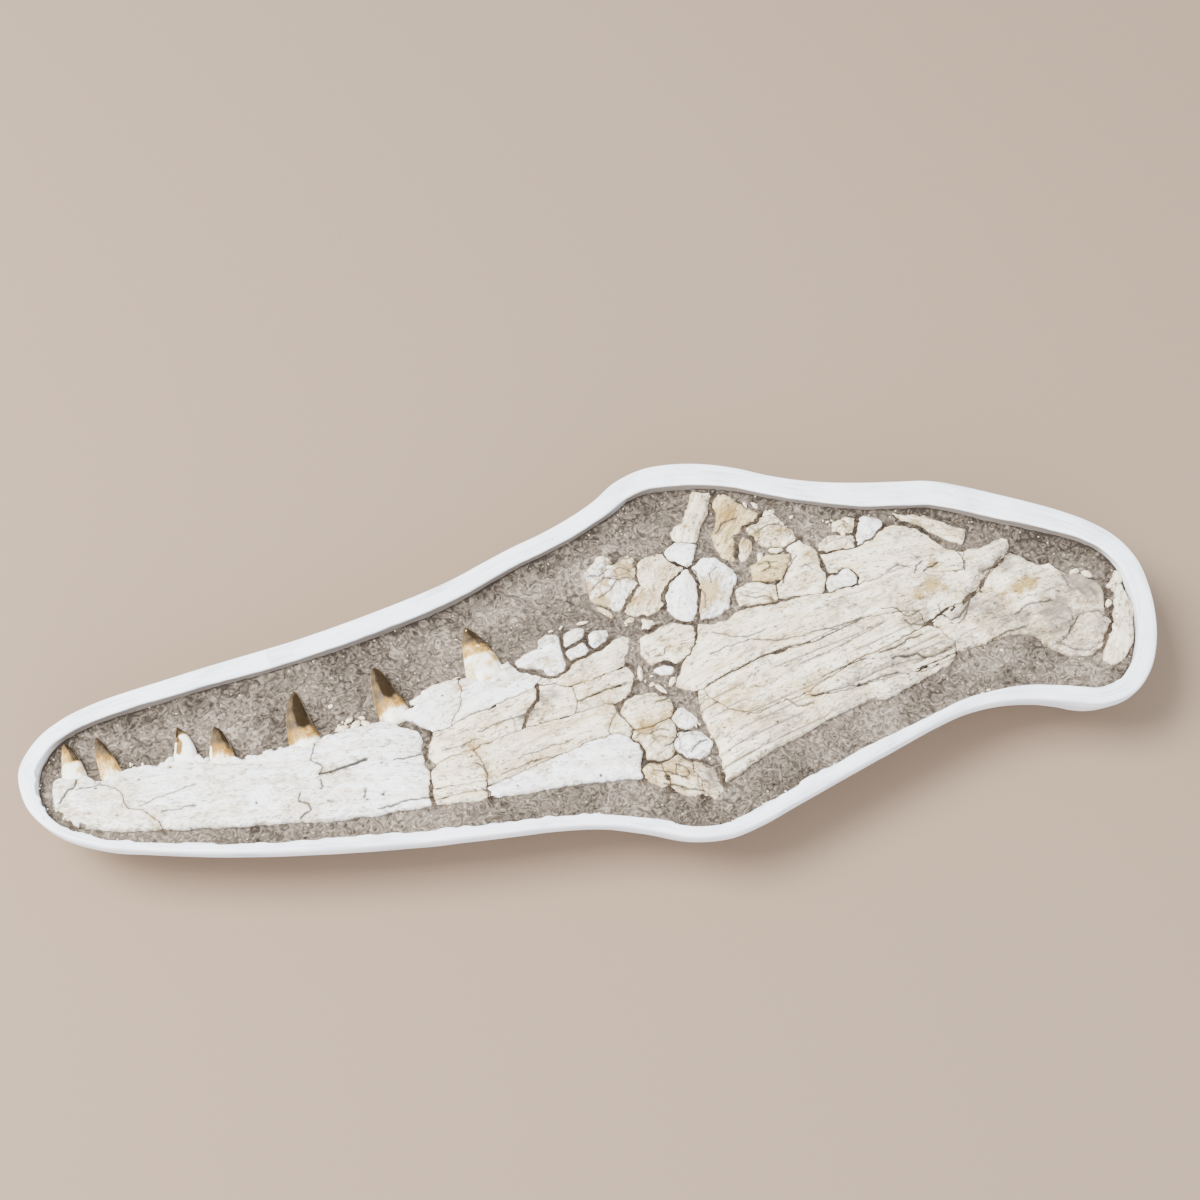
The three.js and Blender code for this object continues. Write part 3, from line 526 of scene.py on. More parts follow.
BED_LINING = even_loop(ring_at("plaster_jacket", 72.0), 240)
lining = base[::6]
low, high = lining.min(0) - 4, lining.max(0) + 4
x, y = grid_over(low, high, ROCK_STEP)
wall = depth_inside(x, y, lining)
bx, by = broken_edge(x, y)
under = np.full(x.shape, float(FAR_OUTSIDE))
second = np.full(x.shape, float(FAR_OUTSIDE))
for name in BONE_NODES:
    loop = outlines[name]
    near = close_to(x, y, loop, 14)
    depth = depth_inside(bx[near], by[near], loop)
    now = under[near]
    second[near] = np.maximum(second[near], np.minimum(now, depth))
    under[near] = np.maximum(now, depth)
ROCK_CORNER, NEAREST, NEXT = low, under, second
sheet = np.minimum(wall, ROCK_UNDER_BONE - under)
sx, sy, quads, used = cut_sheet(x, y, sheet, ROCK_STEP)
wall, under, second = (np.maximum(f.ravel()[used], FAR_OUTSIDE) for f in (wall, under, second))
wx = sx + 4.5 * rough(sx, sy, 15, 31)
wy = sy + 4.5 * rough(sx, sy, 15, 32)
stroke = 1 - 2 * abs(mottle(wx, wy, 6.0, 33))
level = (ROCK_LEVEL
         + 1.6 * (0.65 * np.sin(sx / 71 + 1.3) * np.cos(sy / 53 - 0.4) + 0.35 * np.sin(sx / 29 - sy / 37))
         + 0.8 * rough(sx, sy, 26, 34) + 0.45 * stroke + 0.4 * mottle(wx, wy, 3.4, 35))
squeeze = np.clip((8 - np.maximum(-second, 0)) / 5, 0, 1)
level += 3.3 * squeeze * (under > -12) + 1.4 * np.exp(under.clip(FAR_OUTSIDE, 0) / 2.5)
upper = np.clip((sy - np.interp(sx, *SPINE.T)) / 40, 0, 1)
level += 7.2 * np.exp(-wall.clip(0) / 9) * upper
level -= 1.6 * np.exp(-wall.clip(0) / 1.4)
beside = sum(np.exp(-((sx - hx) ** 2 + (sy - hy) ** 2) / size ** 2) for hx, hy, size in HOLLOWS)
level -= 2.5 * beside
for name in CRACKED:
    edge, rise, reach, outline = WHOLE[name]
    near = np.flatnonzero((sx > min(p[0] for p in outline)) & (sx < max(p[0] for p in outline)))
    height, depth = crown(sx[near], sy[near], edge, rise, reach, outline)
    share = np.clip(depth / 3.5, 0, 1)
    fill = height - 2.0 + 0.5 * mottle(sx[near], sy[near], 9, 36) + 0.3 * stroke[near]
    level[near] = level[near] * (1 - share) + fill * share
level = np.where(under > 2.4, np.minimum(level, 74), level)


def rock_walls(edge):
    """The rock's own sides below its face, or the walls of a pocket that a bone fills, which is shorter."""
    if np.ptp(edge[:, 0]) < 0.8 * np.ptp(lining[:, 0]):
        return [np.c_[edge[:, :2], np.full(len(edge), POCKET_FLOOR)]]
    return [np.c_[towards_spine(edge[:, :2], inset), np.full(len(edge), float(height))]
            for height, inset in CAVITY]


body, faces, source = closed_body(np.c_[sx, sy, level], quads, rock_walls)
# Painted shade: darker beside each tooth as its shadow, darker near the back wall and darkest at its foot.
# The rock is also a touch lighter towards the front right.
rock_painted_shade = 0.02 * np.clip((sx - 120) / 150, 0, 1) * np.clip((-sy - 20) / 60, 0, 1) - 0.07 * beside
rock_painted_shade -= 0.12 * np.clip(1 - wall / 30, 0, 1) * upper + 0.2 * np.exp(-wall.clip(0) / 1.4)
mesh_piece("rock_chiselled", body, faces,
           {"gap": np.clip(squeeze, 0, 1)[source] * (under[source] > -12), "shade": rock_painted_shade[source]},
           marl, ["rock_matrix"])


def beyond(x, y, depth):
    """How far inside the nearest other bone a place lies, from the rock's grid; below zero outside it."""
    u, v = (x - ROCK_CORNER[0]) / ROCK_STEP, (y - ROCK_CORNER[1]) / ROCK_STEP
    i = np.clip(u.astype(int), 0, NEAREST.shape[0] - 2)
    j = np.clip(v.astype(int), 0, NEAREST.shape[1] - 2)
    u, v = np.clip(u - i, 0, 1), np.clip(v - j, 0, 1)
    first, next_one = (grid[i, j] * (1 - u) * (1 - v) + grid[i + 1, j] * u * (1 - v)
                       + grid[i, j + 1] * (1 - u) * v + grid[i + 1, j + 1] * u * v
                       for grid in (NEAREST, NEXT))
    return np.where(depth > first - 0.9, next_one, first)


# The front half of the dentary
# The toothed front bone of the lower jaw, in two pieces that fit at a crack. It is dense and pale, was
# scraped clean and soaked with consolidant, and its lower side is a little creamier, with fine streaks.
BONE_STEP = 0.85
BONE_FOOT = 66.0


def bone_finish(name, pale, cream, streak_tone, stain_tone, streaks=0.5, hairs=0.6, gloss=0.5):
    """A material for cleaned fossil bone: fibres and streaks along the bone, broken hairlines, pits, stains,
    marl dust, and brown in each crack. Part of the stain, the dust and the crack brown is painted shade by
    the cracks, in the hollows and on the walls."""
    material, tree, shader = finish(name)
    grain = add(tree, "Attribute", {"attribute_name": "grain"}, "Vector")
    noise = {}
    for key, size, detail, bend in (("fibre", (24, 1.5, 4), 4.0, 0.5), ("band", (70, 13, 20), 4.0, 0.8),
                                    ("fleck", (7, 4, 4), 5.0, 1.2), ("crease", (60, 8, 10), 3.0, 0.6)):
        at = add(tree, "Mapping", {"Vector": grain, "Scale": tuple(1 / length for length in size)})
        noise[key] = add(tree, "TexNoise", {"Vector": at, "Scale": 1.0, "Detail": detail, "Roughness": 0.62,
                                            "Distortion": bend})
    tone = add(tree, "Math", {"operation": "MULTIPLY_ADD", 0: noise["fibre"], 1: 0.4, 2: 0.0})
    tone = add(tree, "Math", {"operation": "MULTIPLY_ADD", 0: noise["band"], 1: 0.6, 2: tone})
    body = add(tree, "ValToRGB", {"Fac": tone, "stops": [(0.38, cream), (0.55, pale)]})
    line = add(tree, "Math", {"operation": "MULTIPLY", 0: noise["fibre"], 1: noise["fleck"]})
    streaked = add(tree, "ValToRGB", {"Fac": line, "stops": [(0.29, 0.0), (0.42, streaks)]})
    body = add(tree, "Mix", {"data_type": "RGBA", 0: streaked, 6: body, 7: streak_tone}, 2)
    # Ochre stain and grey-tan marl dust over the bone, each mixed with painted shade by the cracks, in the
    # hollows and on the walls.
    for key, sway, stops, tint in (
            ("stain", 2.2, [(0.14, 0.0), (0.45, 0.3), (0.95, 0.85)], stain_tone),
            ("dust", 1.2, [(0.10, 0.0), (0.40, 0.35), (0.85, 0.9)], "#85786a")):
        place = add(tree, "Attribute", {"attribute_name": key}, "Fac")
        broken = add(tree, "Math", {"operation": "MULTIPLY_ADD", 0: noise["fleck"], 1: sway, 2: -sway / 2})
        place = add(tree, "Math", {"operation": "ADD", 0: place, 1: broken})
        cover = add(tree, "ValToRGB", {"Fac": place, "stops": stops})
        body = add(tree, "Mix", {"data_type": "RGBA", 0: cover, 6: body, 7: tint}, 2)
    level = add(tree, "Math", {"operation": "SUBTRACT", 0: noise["crease"], 1: 0.5})
    level = add(tree, "Math", {"operation": "ABSOLUTE", 0: level})
    hair = add(tree, "ValToRGB", {"Fac": level, "stops": [(0.0, hairs), (0.014, hairs * 0.6), (0.032, 0.0)]})
    broken = add(tree, "ValToRGB", {"Fac": noise["fleck"], "stops": [(0.46, 0.0), (0.56, 1.0)]})
    at = add(tree, "Mapping", {"Vector": grain, "Scale": (1 / 10, 1 / 6, 1 / 6)})
    pore = add(tree, "TexVoronoi", {"Vector": at, "Scale": 1.0})
    size = add(tree, "Math", {"operation": "MULTIPLY_ADD", 0: pore.node.outputs["Color"], 1: 0.16, 2: pore})
    pitted = add(tree, "ValToRGB", {"Fac": size, "stops": [(0.03, 0.8), (0.06, 0.5), (0.09, 0.0)]})
    mark = add(tree, "Math", {"operation": "MULTIPLY", 0: hair, 1: broken})
    mark = add(tree, "Math", {"operation": "MAXIMUM", 0: mark, 1: pitted})
    body = add(tree, "Mix", {"data_type": "RGBA", 0: mark, 6: body, 7: "#473c2b"}, 2)
    # Dark brown in the cracks: the cracks' own fill, and painted shade along each fragment's edge.
    seam = add(tree, "Attribute", {"attribute_name": "seam"}, "Fac")
    cracked = add(tree, "ValToRGB", {"Fac": seam, "stops": [
        (0.02, 0.95), (0.06, 0.76), (0.10, 0.42), (0.17, 0.12), (0.45, 0.0)]})
    body = add(tree, "Mix", {"data_type": "RGBA", 0: cracked, 6: body, 7: "#2a251c"}, 2)
    tree.links.new(body, shader.inputs["Base Color"])
    bump = add(tree, "Bump", {"Strength": 0.6, "Distance": 0.5 * MM, "Height": noise["fibre"]})
    bump = add(tree, "Bump", {"Strength": 0.6, "Distance": 0.7 * MM, "Height": noise["fleck"],
                              "Normal": bump})
    tree.links.new(bump, shader.inputs["Normal"])
    shader.inputs["Roughness"].default_value = 1.0 - gloss
    shader.inputs["Specular IOR Level"].default_value = 0.3
    return material


def near_line(x, y, points, reach=12):
    """Distance from a drawn line, in millimetres, as far as reach from it."""
    points = np.asarray(points, float) + JAW_PLACE
    far = np.full(x.shape, 2.0 * reach)
    near = close_to(x, y, points, reach)
    px = x[near] + 1.0 * mottle(x[near], y[near], 7, 61) + 0.5 * mottle(x[near], y[near], 2.6, 62)
    py = y[near] + 1.0 * mottle(x[near], y[near], 7, 63) + 0.5 * mottle(x[near], y[near], 2.6, 64)
    best = np.full(px.shape, 4.0 * reach ** 2)
    for (ax, ay), (bx, by) in zip(points[:-1], points[1:]):
        ex, ey = bx - ax, by - ay
        t = np.clip(((px - ax) * ex + (py - ay) * ey) / (ex * ex + ey * ey), 0, 1)
        best = np.minimum(best, (px - ax - t * ex) ** 2 + (py - ay - t * ey) ** 2)
    far[near] = np.sqrt(best)
    return far


def nodules(x, y, size, layer):
    """Closely packed rounded lumps: their height from 0 to 1, and the distance to the seams between them."""
    u, v = x / size, y / size
    i, j = np.floor(u).astype(np.int64), np.floor(v).astype(np.int64)
    first = np.full(x.shape, 9.0)
    other = np.full(x.shape, 9.0)
    for di in (-1, 0, 1):
        for dj in (-1, 0, 1):
            cx = i + di + 0.1 + 0.8 * lattice_value(i + di, j + dj, layer)
            cy = j + dj + 0.1 + 0.8 * lattice_value(i + di, j + dj, layer + 3)
            d = np.hypot(u - cx, v - cy)
            other = np.minimum(other, np.maximum(first, d))
            first = np.minimum(first, d)
    return np.clip(1.15 - first, 0, 1), (other - first) * size * 0.5


def edge_drop(depth, radius):
    """How far a face lies below its level where its edge is rounded, by the distance in from the edge."""
    return radius - np.sqrt(np.maximum(radius ** 2 - np.maximum(radius - depth, 0) ** 2, 0))


def blotted(field, x, y, blots, size, layer):
    """A field raised to the strength of each blot (x, y, radius and strength), with ragged edges."""
    ragged = 0.35 * rough(x, y, size, layer)
    for blot_x, blot_y, radius, strength in blots:
        d = np.hypot(x - blot_x, y - blot_y + 2) / radius + ragged
        field = np.maximum(field, strength * np.exp(-d ** 2 * 1.3))
    return field


def bone_walls(edge):
    """The rings of a fragment's slightly wavy walls, from below its edge down to its foot."""
    flat, n = edge[:, :2], len(edge)
    levels = np.minimum(edge[:, 2] - 1.2, 74.8), np.full(n, 71.5), np.full(n, BONE_FOOT)
    return [np.c_[flat + 0.3 * np.c_[mottle(*flat.T, 4, 77 + k), mottle(*flat.T, 4, 87 + k)], level]
            for k, level in enumerate(levels)]


def lay_bone(node, material, grain, edge, rise, reach, lines=(), stains=(), ridge=0.35, ridge_size=7.0,
             lumps=0.0, lump_size=9.0, pits=1 / 1500, wash=0.0, chips=0.8, grow=0.5, flakes=0.3, splits=0.0,
             swells=(), dust_and_shade_spots=()):
    """A fragment of bone on the outline of its solid. Grain is the direction of its fibres in degrees from
    +X, lines are hairline cracks with their widths, stains are x, y, radius and strength, and wash stains it
    all. The outline is worn, so it may grow up to half way to the next bone. Flakes is how much of the skin
    is lost, splits is the spacing of the ridges and splits along its grain, swells are ridges and furrows as
    height, width and line, and the grey-tan spots are places of marl dust and of painted shade in hollows,
    like stains. Grey-tan and tan are also painted into the furrows, along the cracks and edges and on the
    walls, as painted shade."""
    loop = outlines[node]
    margin = 14 if node.startswith("dentary_front") else 4.2
    low, high = loop.min(0) - margin, loop.max(0) + margin
    x, y = grid_over(low, high, BONE_STEP)
    depth = softened(fragment_depth(node, x, y), 4)
    other = softened(beyond(x, y, depth), 3)
    space = np.maximum(-other - depth, 0)
    depth = np.minimum(depth + grow, 0.5 * (depth - other) - 0.3)
    x, y, quads, used = cut_sheet(x, y, depth, BONE_STEP)
    depth, space = np.maximum(depth.ravel()[used], 0), space.ravel()[used]
    c, s = math.cos(math.radians(grain)), math.sin(math.radians(grain))
    u, v = x * c + y * s, y * c - x * s
    v = v + 3.0 * mottle(u, v, 80, 65)
    z, outer = edge + rise * (1 - np.exp(-depth / reach)), depth
    bone = node.rstrip("0123456789").rstrip("_")
    if bone in WHOLE:
        z, outer = crown(x, y, *WHOLE[bone])
    z -= edge_drop(depth, 0.7)
    z -= edge_drop(outer, 1.5)
    z += 0.8 * mottle(u / 3, v, 24, 66) + ridge * mottle(u / 7, v, ridge_size, 67)
    z += 0.6 * ridge * mottle(u / 6, v, ridge_size * 0.42, 68) + 0.18 * mottle(u / 4, v, 1.9, 69)
    z += 0.25 * rough(x, y, 8, 70)
    chip = np.clip((mottle(x, y, 8.5, 71) - 0.3) * 3, 0, 1) * np.exp(-depth / 3.2)
    z -= chips * 1.7 * chip
    seam = np.full(x.shape, 20.0)
    if lumps:
        lump, between = nodules(x + 1.2 * mottle(x, y, 6, 72), y + 1.2 * mottle(x, y, 6, 73), lump_size, 74)
        z += lumps * (lump - 0.6) - lumps * 0.5 * np.exp(-between / 0.9)
        seam = np.minimum(seam, between + 0.7 + 4.0 * (mottle(x, y, 16, 75) + 0.15).clip(0))
    for size, drop, layer in ((24, 0.9, 101), (10, 0.5, 102)):
        flake = mottle(u / 3.5, v, size, layer) + 0.3 * mottle(u / 2, v, size * 0.35, layer + 5) - 0.3
        z -= drop * flakes * np.clip(flake * size * 0.5, 0, 1)
        gaps = 2.5 * (mottle(x, y, 15, layer + 9) + 0.1).clip(0)
        seam = np.minimum(seam, 1.7 - 0.9 * flakes + gaps + abs(flake) * size * 0.45)
    if splits:
        sway = v + 2.5 * mottle(u / 5, v / 2, 22, 111)
        row = np.round(sway / splits)
        apart = abs(sway - row * splits)
        open_here = mottle(u / 3, row * 9.7, 14, 112)
        z -= 0.4 * np.cos(2 * math.pi * sway / splits)
        z -= 1.0 * np.exp(-(apart / 1.0) ** 2) * np.clip((open_here + 0.3) * 3, 0, 1)
        seam = np.minimum(seam, apart + 0.4 + 3 * (0.12 - open_here).clip(0))
    dust = np.zeros(x.shape)
    for height, width, points in swells:
        d = near_line(x, y, points, 3 * width)
        form = np.exp(-(d / width) ** 2)
        z += height * form
        # Grey-tan in the furrows: painted shade.
        dust += max(-height, 0) * 0.22 * form
        if height < 0 and width < 2:
            seam = np.minimum(seam, d + 0.5)
    for width, points in lines:
        d = near_line(x, y, points)
        z -= (0.25 + 0.55 * width) * np.exp(-(d / (0.35 + 0.45 * width)) ** 2)
        seam = np.minimum(seam, np.maximum(d - 0.5 * (width - 1.0), 0))
    chance = np.random.default_rng(len(loop) * 131 + int(loop[0, 0] * 7) % 9973)
    for _ in range(int(len(x) * BONE_STEP ** 2 * pits)):
        k = chance.integers(len(x))
        size = 0.3 + 0.9 * chance.random() ** 2.5
        d = np.hypot((x - x[k]) * (1 if size > 0.7 else 0.6), y - y[k])
        z -= 0.9 * np.exp(-(d / (size + 0.35)) ** 2)
        seam = np.minimum(seam, np.maximum(d - size + 0.55, 0))
    # Brown along each fragment's edge, darker where the next bone is close: painted shade in the crack
    # between them.
    seam = np.minimum(seam, 1.3 * depth + 1.7 - 1.2 * np.exp(-space / 2.0))
    stain = blotted(np.full(x.shape, wash), x, y, stains, 14, 120)
    dust = blotted(dust, x, y, dust_and_shade_spots, 12, 121)
    # Grey-tan along the cracks: painted shade, with some marl dust at random.
    dust += 0.45 * np.exp(-seam / 1.4) + 0.12 * rough(x, y, 26, 122).clip(0)
    if lumps:
        stain += 0.14 * min(lumps, 3) * np.exp(-between / 2.2)
    # Tan along the cracks and the fragment's edges: painted shade.
    stain += 0.28 * np.exp(-seam / 3.5) + 0.16 * np.exp(-depth / 3.0) + 0.22 * rough(x, y, 34, 76).clip(-0.4)
    body, faces, source = closed_body(np.c_[x, y, z], quads, bone_walls)
    side = np.r_[np.zeros(len(x)), np.ones(len(body) - len(x))]
    # The walls take the grey-tan and the crack brown of their edge: painted shade on the walls.
    mesh_piece(node + "_cleaned", body, faces,
               {"grain": np.c_[u[source], v[source], body[:, 2]], "seam": (seam[source] / 10).clip(0, 1),
                "stain": stain[source], "dust": np.maximum(dust[source], 0.9 * side)},
               material, [node])


# Dense bone scraped and soaked with consolidant: cool white, faintly creamy, with a slight soft gloss.
white_bone = bone_finish("fossil bone, scraped white and consolidated", "#fafbfb", "#e8dfcb", "#7b664d",
                         "#ab8a42", streaks=0.34, hairs=0.55, gloss=0.42)
FRONT_LINES = [
    (1.0, [(-535, -148), (-530, -153), (-519, -152), (-510, -147)]),
    (1.2, [(-519, -154), (-520, -164), (-527, -171), (-531, -181)]),
    (0.6, [(-517, -167), (-500, -162), (-489, -160)]), (0.7, [(-430, -191), (-413, -188), (-398, -184)]),
    (0.4, [(-452, -186), (-440, -178), (-420, -170), (-400, -161)]),
    (1.2, [(-297, -172), (-297, -180), (-288, -183), (-285, -189), (-294, -197)]),
    (0.8, [(-288, -113), (-289, -134), (-277, -142), (-279, -151)]),
    (2.6, [(-279, -150), (-266, -147), (-249, -140), (-234, -134)]), (1.2, [(-278, -157), (-275, -164)]),
    (1.0, [(-207, -134), (-195, -132), (-181, -124)]), (1.0, [(-220, -187), (-187, -177), (-170, -174)]),
    (0.9, [(-232, -168), (-233, -176)]), (0.7, [(-268, -180), (-264, -181)]),
]
FRONT_STAINS = [
    (-520, -190, 16, 0.42), (-470, -202, 40, 0.34), (-380, -192, 50, 0.28), (-300, -185, 45, 0.3),
    (-230, -180, 40, 0.25), (-270, -146, 16, 0.4), (-519, -158, 10, 0.35), (-434, -198, 14, 0.5),
]
for node in ("dentary_front_1", "dentary_front_2"):
    lay_bone(node, white_bone, 7, 78, 8, 22, FRONT_LINES, FRONT_STAINS, ridge=0.2, ridge_size=9)

# The rear half of the dentary
# The rest of the toothed bone, broken into wedges and strips that have shifted a little. Brown hairlines
# follow its fibres, and rock fills the widest cracks. It was cleaned with an air scribe.
# Cream bone cleaned with a scribe: fibrous and matt, with tan streaks, ochre stains, and a light ochre tone
# by its cracks that is painted shade.
cream_bone = bone_finish("fossil bone, air scribed and consolidated", "#f8edd4", "#d4c09c", "#634e38",
                         "#9b7a30", streaks=0.46, hairs=0.85, gloss=0.36)
REAR_LINES = [
    (0.8, [(-93, -84), (-90, -90)]), (0.8, [(-24, -66), (6, -49), (24, -40)]),
    (0.7, [(-125, -103), (-104, -92), (-84, -84), (-72, -80)]),
    (0.7, [(-130, -138), (-118, -141), (-113, -151)]), (0.6, [(-160, -122), (-142, -118), (-126, -110)]),
    (0.6, [(-84, -132), (-60, -122), (-30, -112)]), (0.9, [(-119, -164), (-113, -168), (-112, -172)]),
    (0.6, [(-100, -150), (-70, -136), (-40, -128)]),
]
REAR_STAINS = [
    (-145, -68, 14, 0.5), (-146, -46, 12, 0.55), (-128, -118, 16, 0.7), (-112, -98, 14, 0.5),
    (-60, -78, 20, 0.45), (-20, -44, 24, 0.3), (0, -60, 16, 0.4), (-118, -148, 12, 0.5),
    (-60, -138, 12, 0.4), (8, -86, 10, 0.5),
]
REAR_DUST_AND_SHADE = [
    (-60, -64, 9, 0.9), (-72, -76, 7, 1.0), (-50, -56, 8, 0.8), (-82, -86, 6, 0.8), (20, -18, 10, 0.5),
]
REAR_GRAIN = (38, 24, 16, 10, 9, 30, 24, 14, 24, 32, 30, 28, 30)
REAR_DENSE = (1, 6, 8)
for number, grain in enumerate(REAR_GRAIN, 1):
    dense = number in REAR_DENSE
    lay_bone(f"dentary_rear_{number}", white_bone if dense else cream_bone, grain, 78, 8, 24, REAR_LINES,
             REAR_STAINS, ridge=0.2 if dense else 0.4, flakes=0.25 if dense else 0.7, dust_and_shade_spots=REAR_DUST_AND_SHADE)
for letter, grain, rise, reach in (("a", 20, 5, 12), ("b", 30, 4, 10), ("c", 40, 4, 10), ("d", 35, 4, 10)):
    lay_bone("dentary_chip_" + letter, white_bone, grain, 77, rise, reach, ridge=0.6, ridge_size=5, grow=0.2,
             flakes=0.9, stains=[(-56, -16, 9, 0.7), (-30, 2, 6, 0.4), (-66, -28, 6, 0.8)])

# The crushed bone and the splenial plates
# Behind the dentary lie a crushed white lump with ochre spots, and the flat plates and chips of the splenial.
# The rock between them was picked out with needles, and they were left as white or cream bone.
CRUSHED_LINES = [
    (0.9, [(-16, 95), (-4, 92), (4, 100), (10, 112)]), (0.8, [(-12, 76), (0, 90), (16, 88), (30, 92)]),
    (0.7, [(4, 100), (18, 104), (30, 100)]), (0.7, [(-4, 66), (8, 74), (14, 86)]),
]
CRUSHED_STAINS = [
    (-18, 78, 10, 1.3), (22, 100, 12, 1.3), (28, 108, 10, 1.0), (-4, 60, 9, 1.2), (10, 112, 8, 0.9),
    (2, 84, 7, 0.7),
]
lay_bone("crushed_bone", white_bone, 60, 76, 7, 16, CRUSHED_LINES, CRUSHED_STAINS, ridge=0.5, lumps=3.0,
         lump_size=15, chips=1.4, flakes=0.5, dust_and_shade_spots=[(6, 108, 8, 0.8), (-22, 90, 8, 0.5)])
SPLENIAL = [
    ("splenial_plate_a", cream_bone, 62, 6, 18, [(48, 70, 20, 0.6), (36, 60, 14, 0.8), (70, 100, 14, 0.5)]),
    ("splenial_plate_b", white_bone, 40, 5, 14, []),
    ("splenial_plate_c", white_bone, 65, 6, 16, [(96, 80, 8, 0.3)]),
    ("splenial_plate_d", white_bone, 62, 6, 16, [(112, 74, 20, 1.3), (104, 58, 12, 1.0), (120, 92, 12, 0.7)]),
    ("splenial_plate_e", cream_bone, 30, 6, 16, [(72, 6, 16, 0.6), (48, -12, 14, 0.5)]),
    ("splenial_chip_a", cream_bone, 50, 4, 8, []),
    ("splenial_chip_b", white_bone, 20, 4, 8, []),
]
SPLENIAL_LINES = [
    (0.6, [(106, 52), (108, 66), (104, 78)]), (0.6, [(114, 84), (112, 96), (120, 104)]),
    (0.8, [(96, 104), (101, 92), (100, 78)]), (0.7, [(44, -2), (48, -8)]),
    (0.6, [(66, 2), (62, -6), (54, -8)]),
]
for node, finish_of, grain, rise, reach, stains in SPLENIAL:
    edge = {"splenial_chip_a": 76, "splenial_chip_b": 75}.get(node, 77)
    lay_bone(node, finish_of, grain, edge, rise, reach, SPLENIAL_LINES, stains, ridge=0.3, ridge_size=8,
             grow=1.3, flakes=0.5)

# The blocks and rubble at the joint of the jaw's two halves
# Where the dentary met the rear bones the jaw could flex, and there it was crushed into rounded blocks.
# They are stained by iron and have many small cracks, with white nodules at the bottom end.
JOINT = [
    ("hinge_block_a", cream_bone, 20, 77, 7, 14, 0.5, 20, 0.1),
    ("hinge_block_b", cream_bone, 50, 77, 7, 14, 0.7, 17, 0.15),
    ("hinge_block_c", white_bone, 50, 76, 5, 10, 1.2, 14, 0.0),
    ("hinge_block_d", white_bone, 35, 77, 6, 12, 1.4, 15, 0.0),
    ("hinge_rubble_1", cream_bone, -18, 76, 7, 14, 1.4, 17, 0.3),
    ("hinge_rubble_2", cream_bone, -20, 76, 7, 14, 1.6, 16, 0.25),
    ("hinge_rubble_3", cream_bone, -30, 76, 7, 14, 1.8, 12, 0.15),
]
JOINT_STAINS = [
    (44, -93, 14, 1.2), (62, -84, 12, 0.6), (58, -106, 12, 0.7), (66, -140, 10, 0.8), (84, -146, 9, 0.8),
    (50, -146, 12, 0.6), (104, -160, 12, 0.6), (66, -74, 12, 0.4),
]
JOINT_DUST_AND_SHADE = [(106, -146, 10, 0.9), (110, -158, 8, 0.7), (98, -130, 6, 0.6)]
JOINT_LINES = [
    (1.2, [(53, -66), (66, -58), (80, -52)]), (0.8, [(47, -101), (57, -96), (66, -97)]),
    (0.8, [(62, -118), (70, -110), (77, -100)]), (1.0, [(88, -122), (96, -112), (104, -108)]),
    (0.9, [(50, -142), (66, -146), (84, -152)]), (0.9, [(60, -156), (80, -162), (100, -166)]),
    (0.8, [(72, -136), (82, -140), (86, -148), (78, -152), (72, -146), (72, -136)]),
]
for node, finish_of, grain, edge, rise, reach, lumps, lump_size, wash in JOINT:
    lay_bone(node, finish_of, grain, edge, rise, reach, JOINT_LINES, JOINT_STAINS, ridge=0.5, lumps=lumps,
             lump_size=lump_size, wash=wash, chips=1.0, grow=1.3, flakes=0.5, dust_and_shade_spots=JOINT_DUST_AND_SHADE)

# The rear bones of the jaw
# The surangular, angular and prearticular lie side by side, long and fibrous, with the coronoid's plate above
# and the retroarticular end behind. They are split along their length, and their lower side is ridged.
LONG_LINES = [
    (1.2, [(106, -44), (121, -35), (148, -20), (159, -13), (184, -2), (219, 8), (268, 35)]),
    (0.7, [(110, -8), (128, 1), (152, 10)]), (0.7, [(114, 20), (136, 14), (150, 14), (168, 22)]),
    (0.8, [(150, 10), (178, 8), (206, 14), (240, 26), (270, 37)]), (0.6, [(228, 25), (240, 22), (258, 25)]),
    (0.6, [(200, -22), (232, -6), (262, 12), (290, 30)]),
    (0.9, [(290, 48), (306, 46), (318, 38), (330, 46)]), (0.9, [(312, 36), (318, 28), (332, 28)]),
    (0.8, [(329, 92), (331, 103), (338, 110)]), (0.8, [(378, 127), (384, 112), (382, 98)]),
    (1.4, [(338, 95), (346, 102), (355, 110)]), (1.0, [(483, 20), (487, 30), (495, 40)]),
    (0.9, [(350, 52), (352, 42), (362, 34), (372, 42), (384, 58)]),
    (0.8, [(384, 60), (378, 44), (370, 30)]), (0.8, [(212, -58), (240, -50), (262, -44)]),
    (0.8, [(222, -38), (246, -24), (270, -14)]), (1.0, [(258, -46), (282, -36), (302, -30)]),
    (1.2, [(284, -6), (300, 0), (318, 12), (330, 16)]),
    (1.2, [(296, -14), (312, -12), (322, -8), (340, -10)]), (0.7, [(180, -60), (196, -70), (214, -66)]),
    (0.7, [(300, 98), (312, 104), (324, 102)]), (0.6, [(400, 96), (412, 104), (424, 118)]),
    (0.6, [(430, 44), (446, 54), (470, 60)]), (0.6, [(398, 10), (418, 22), (440, 30)]),
]
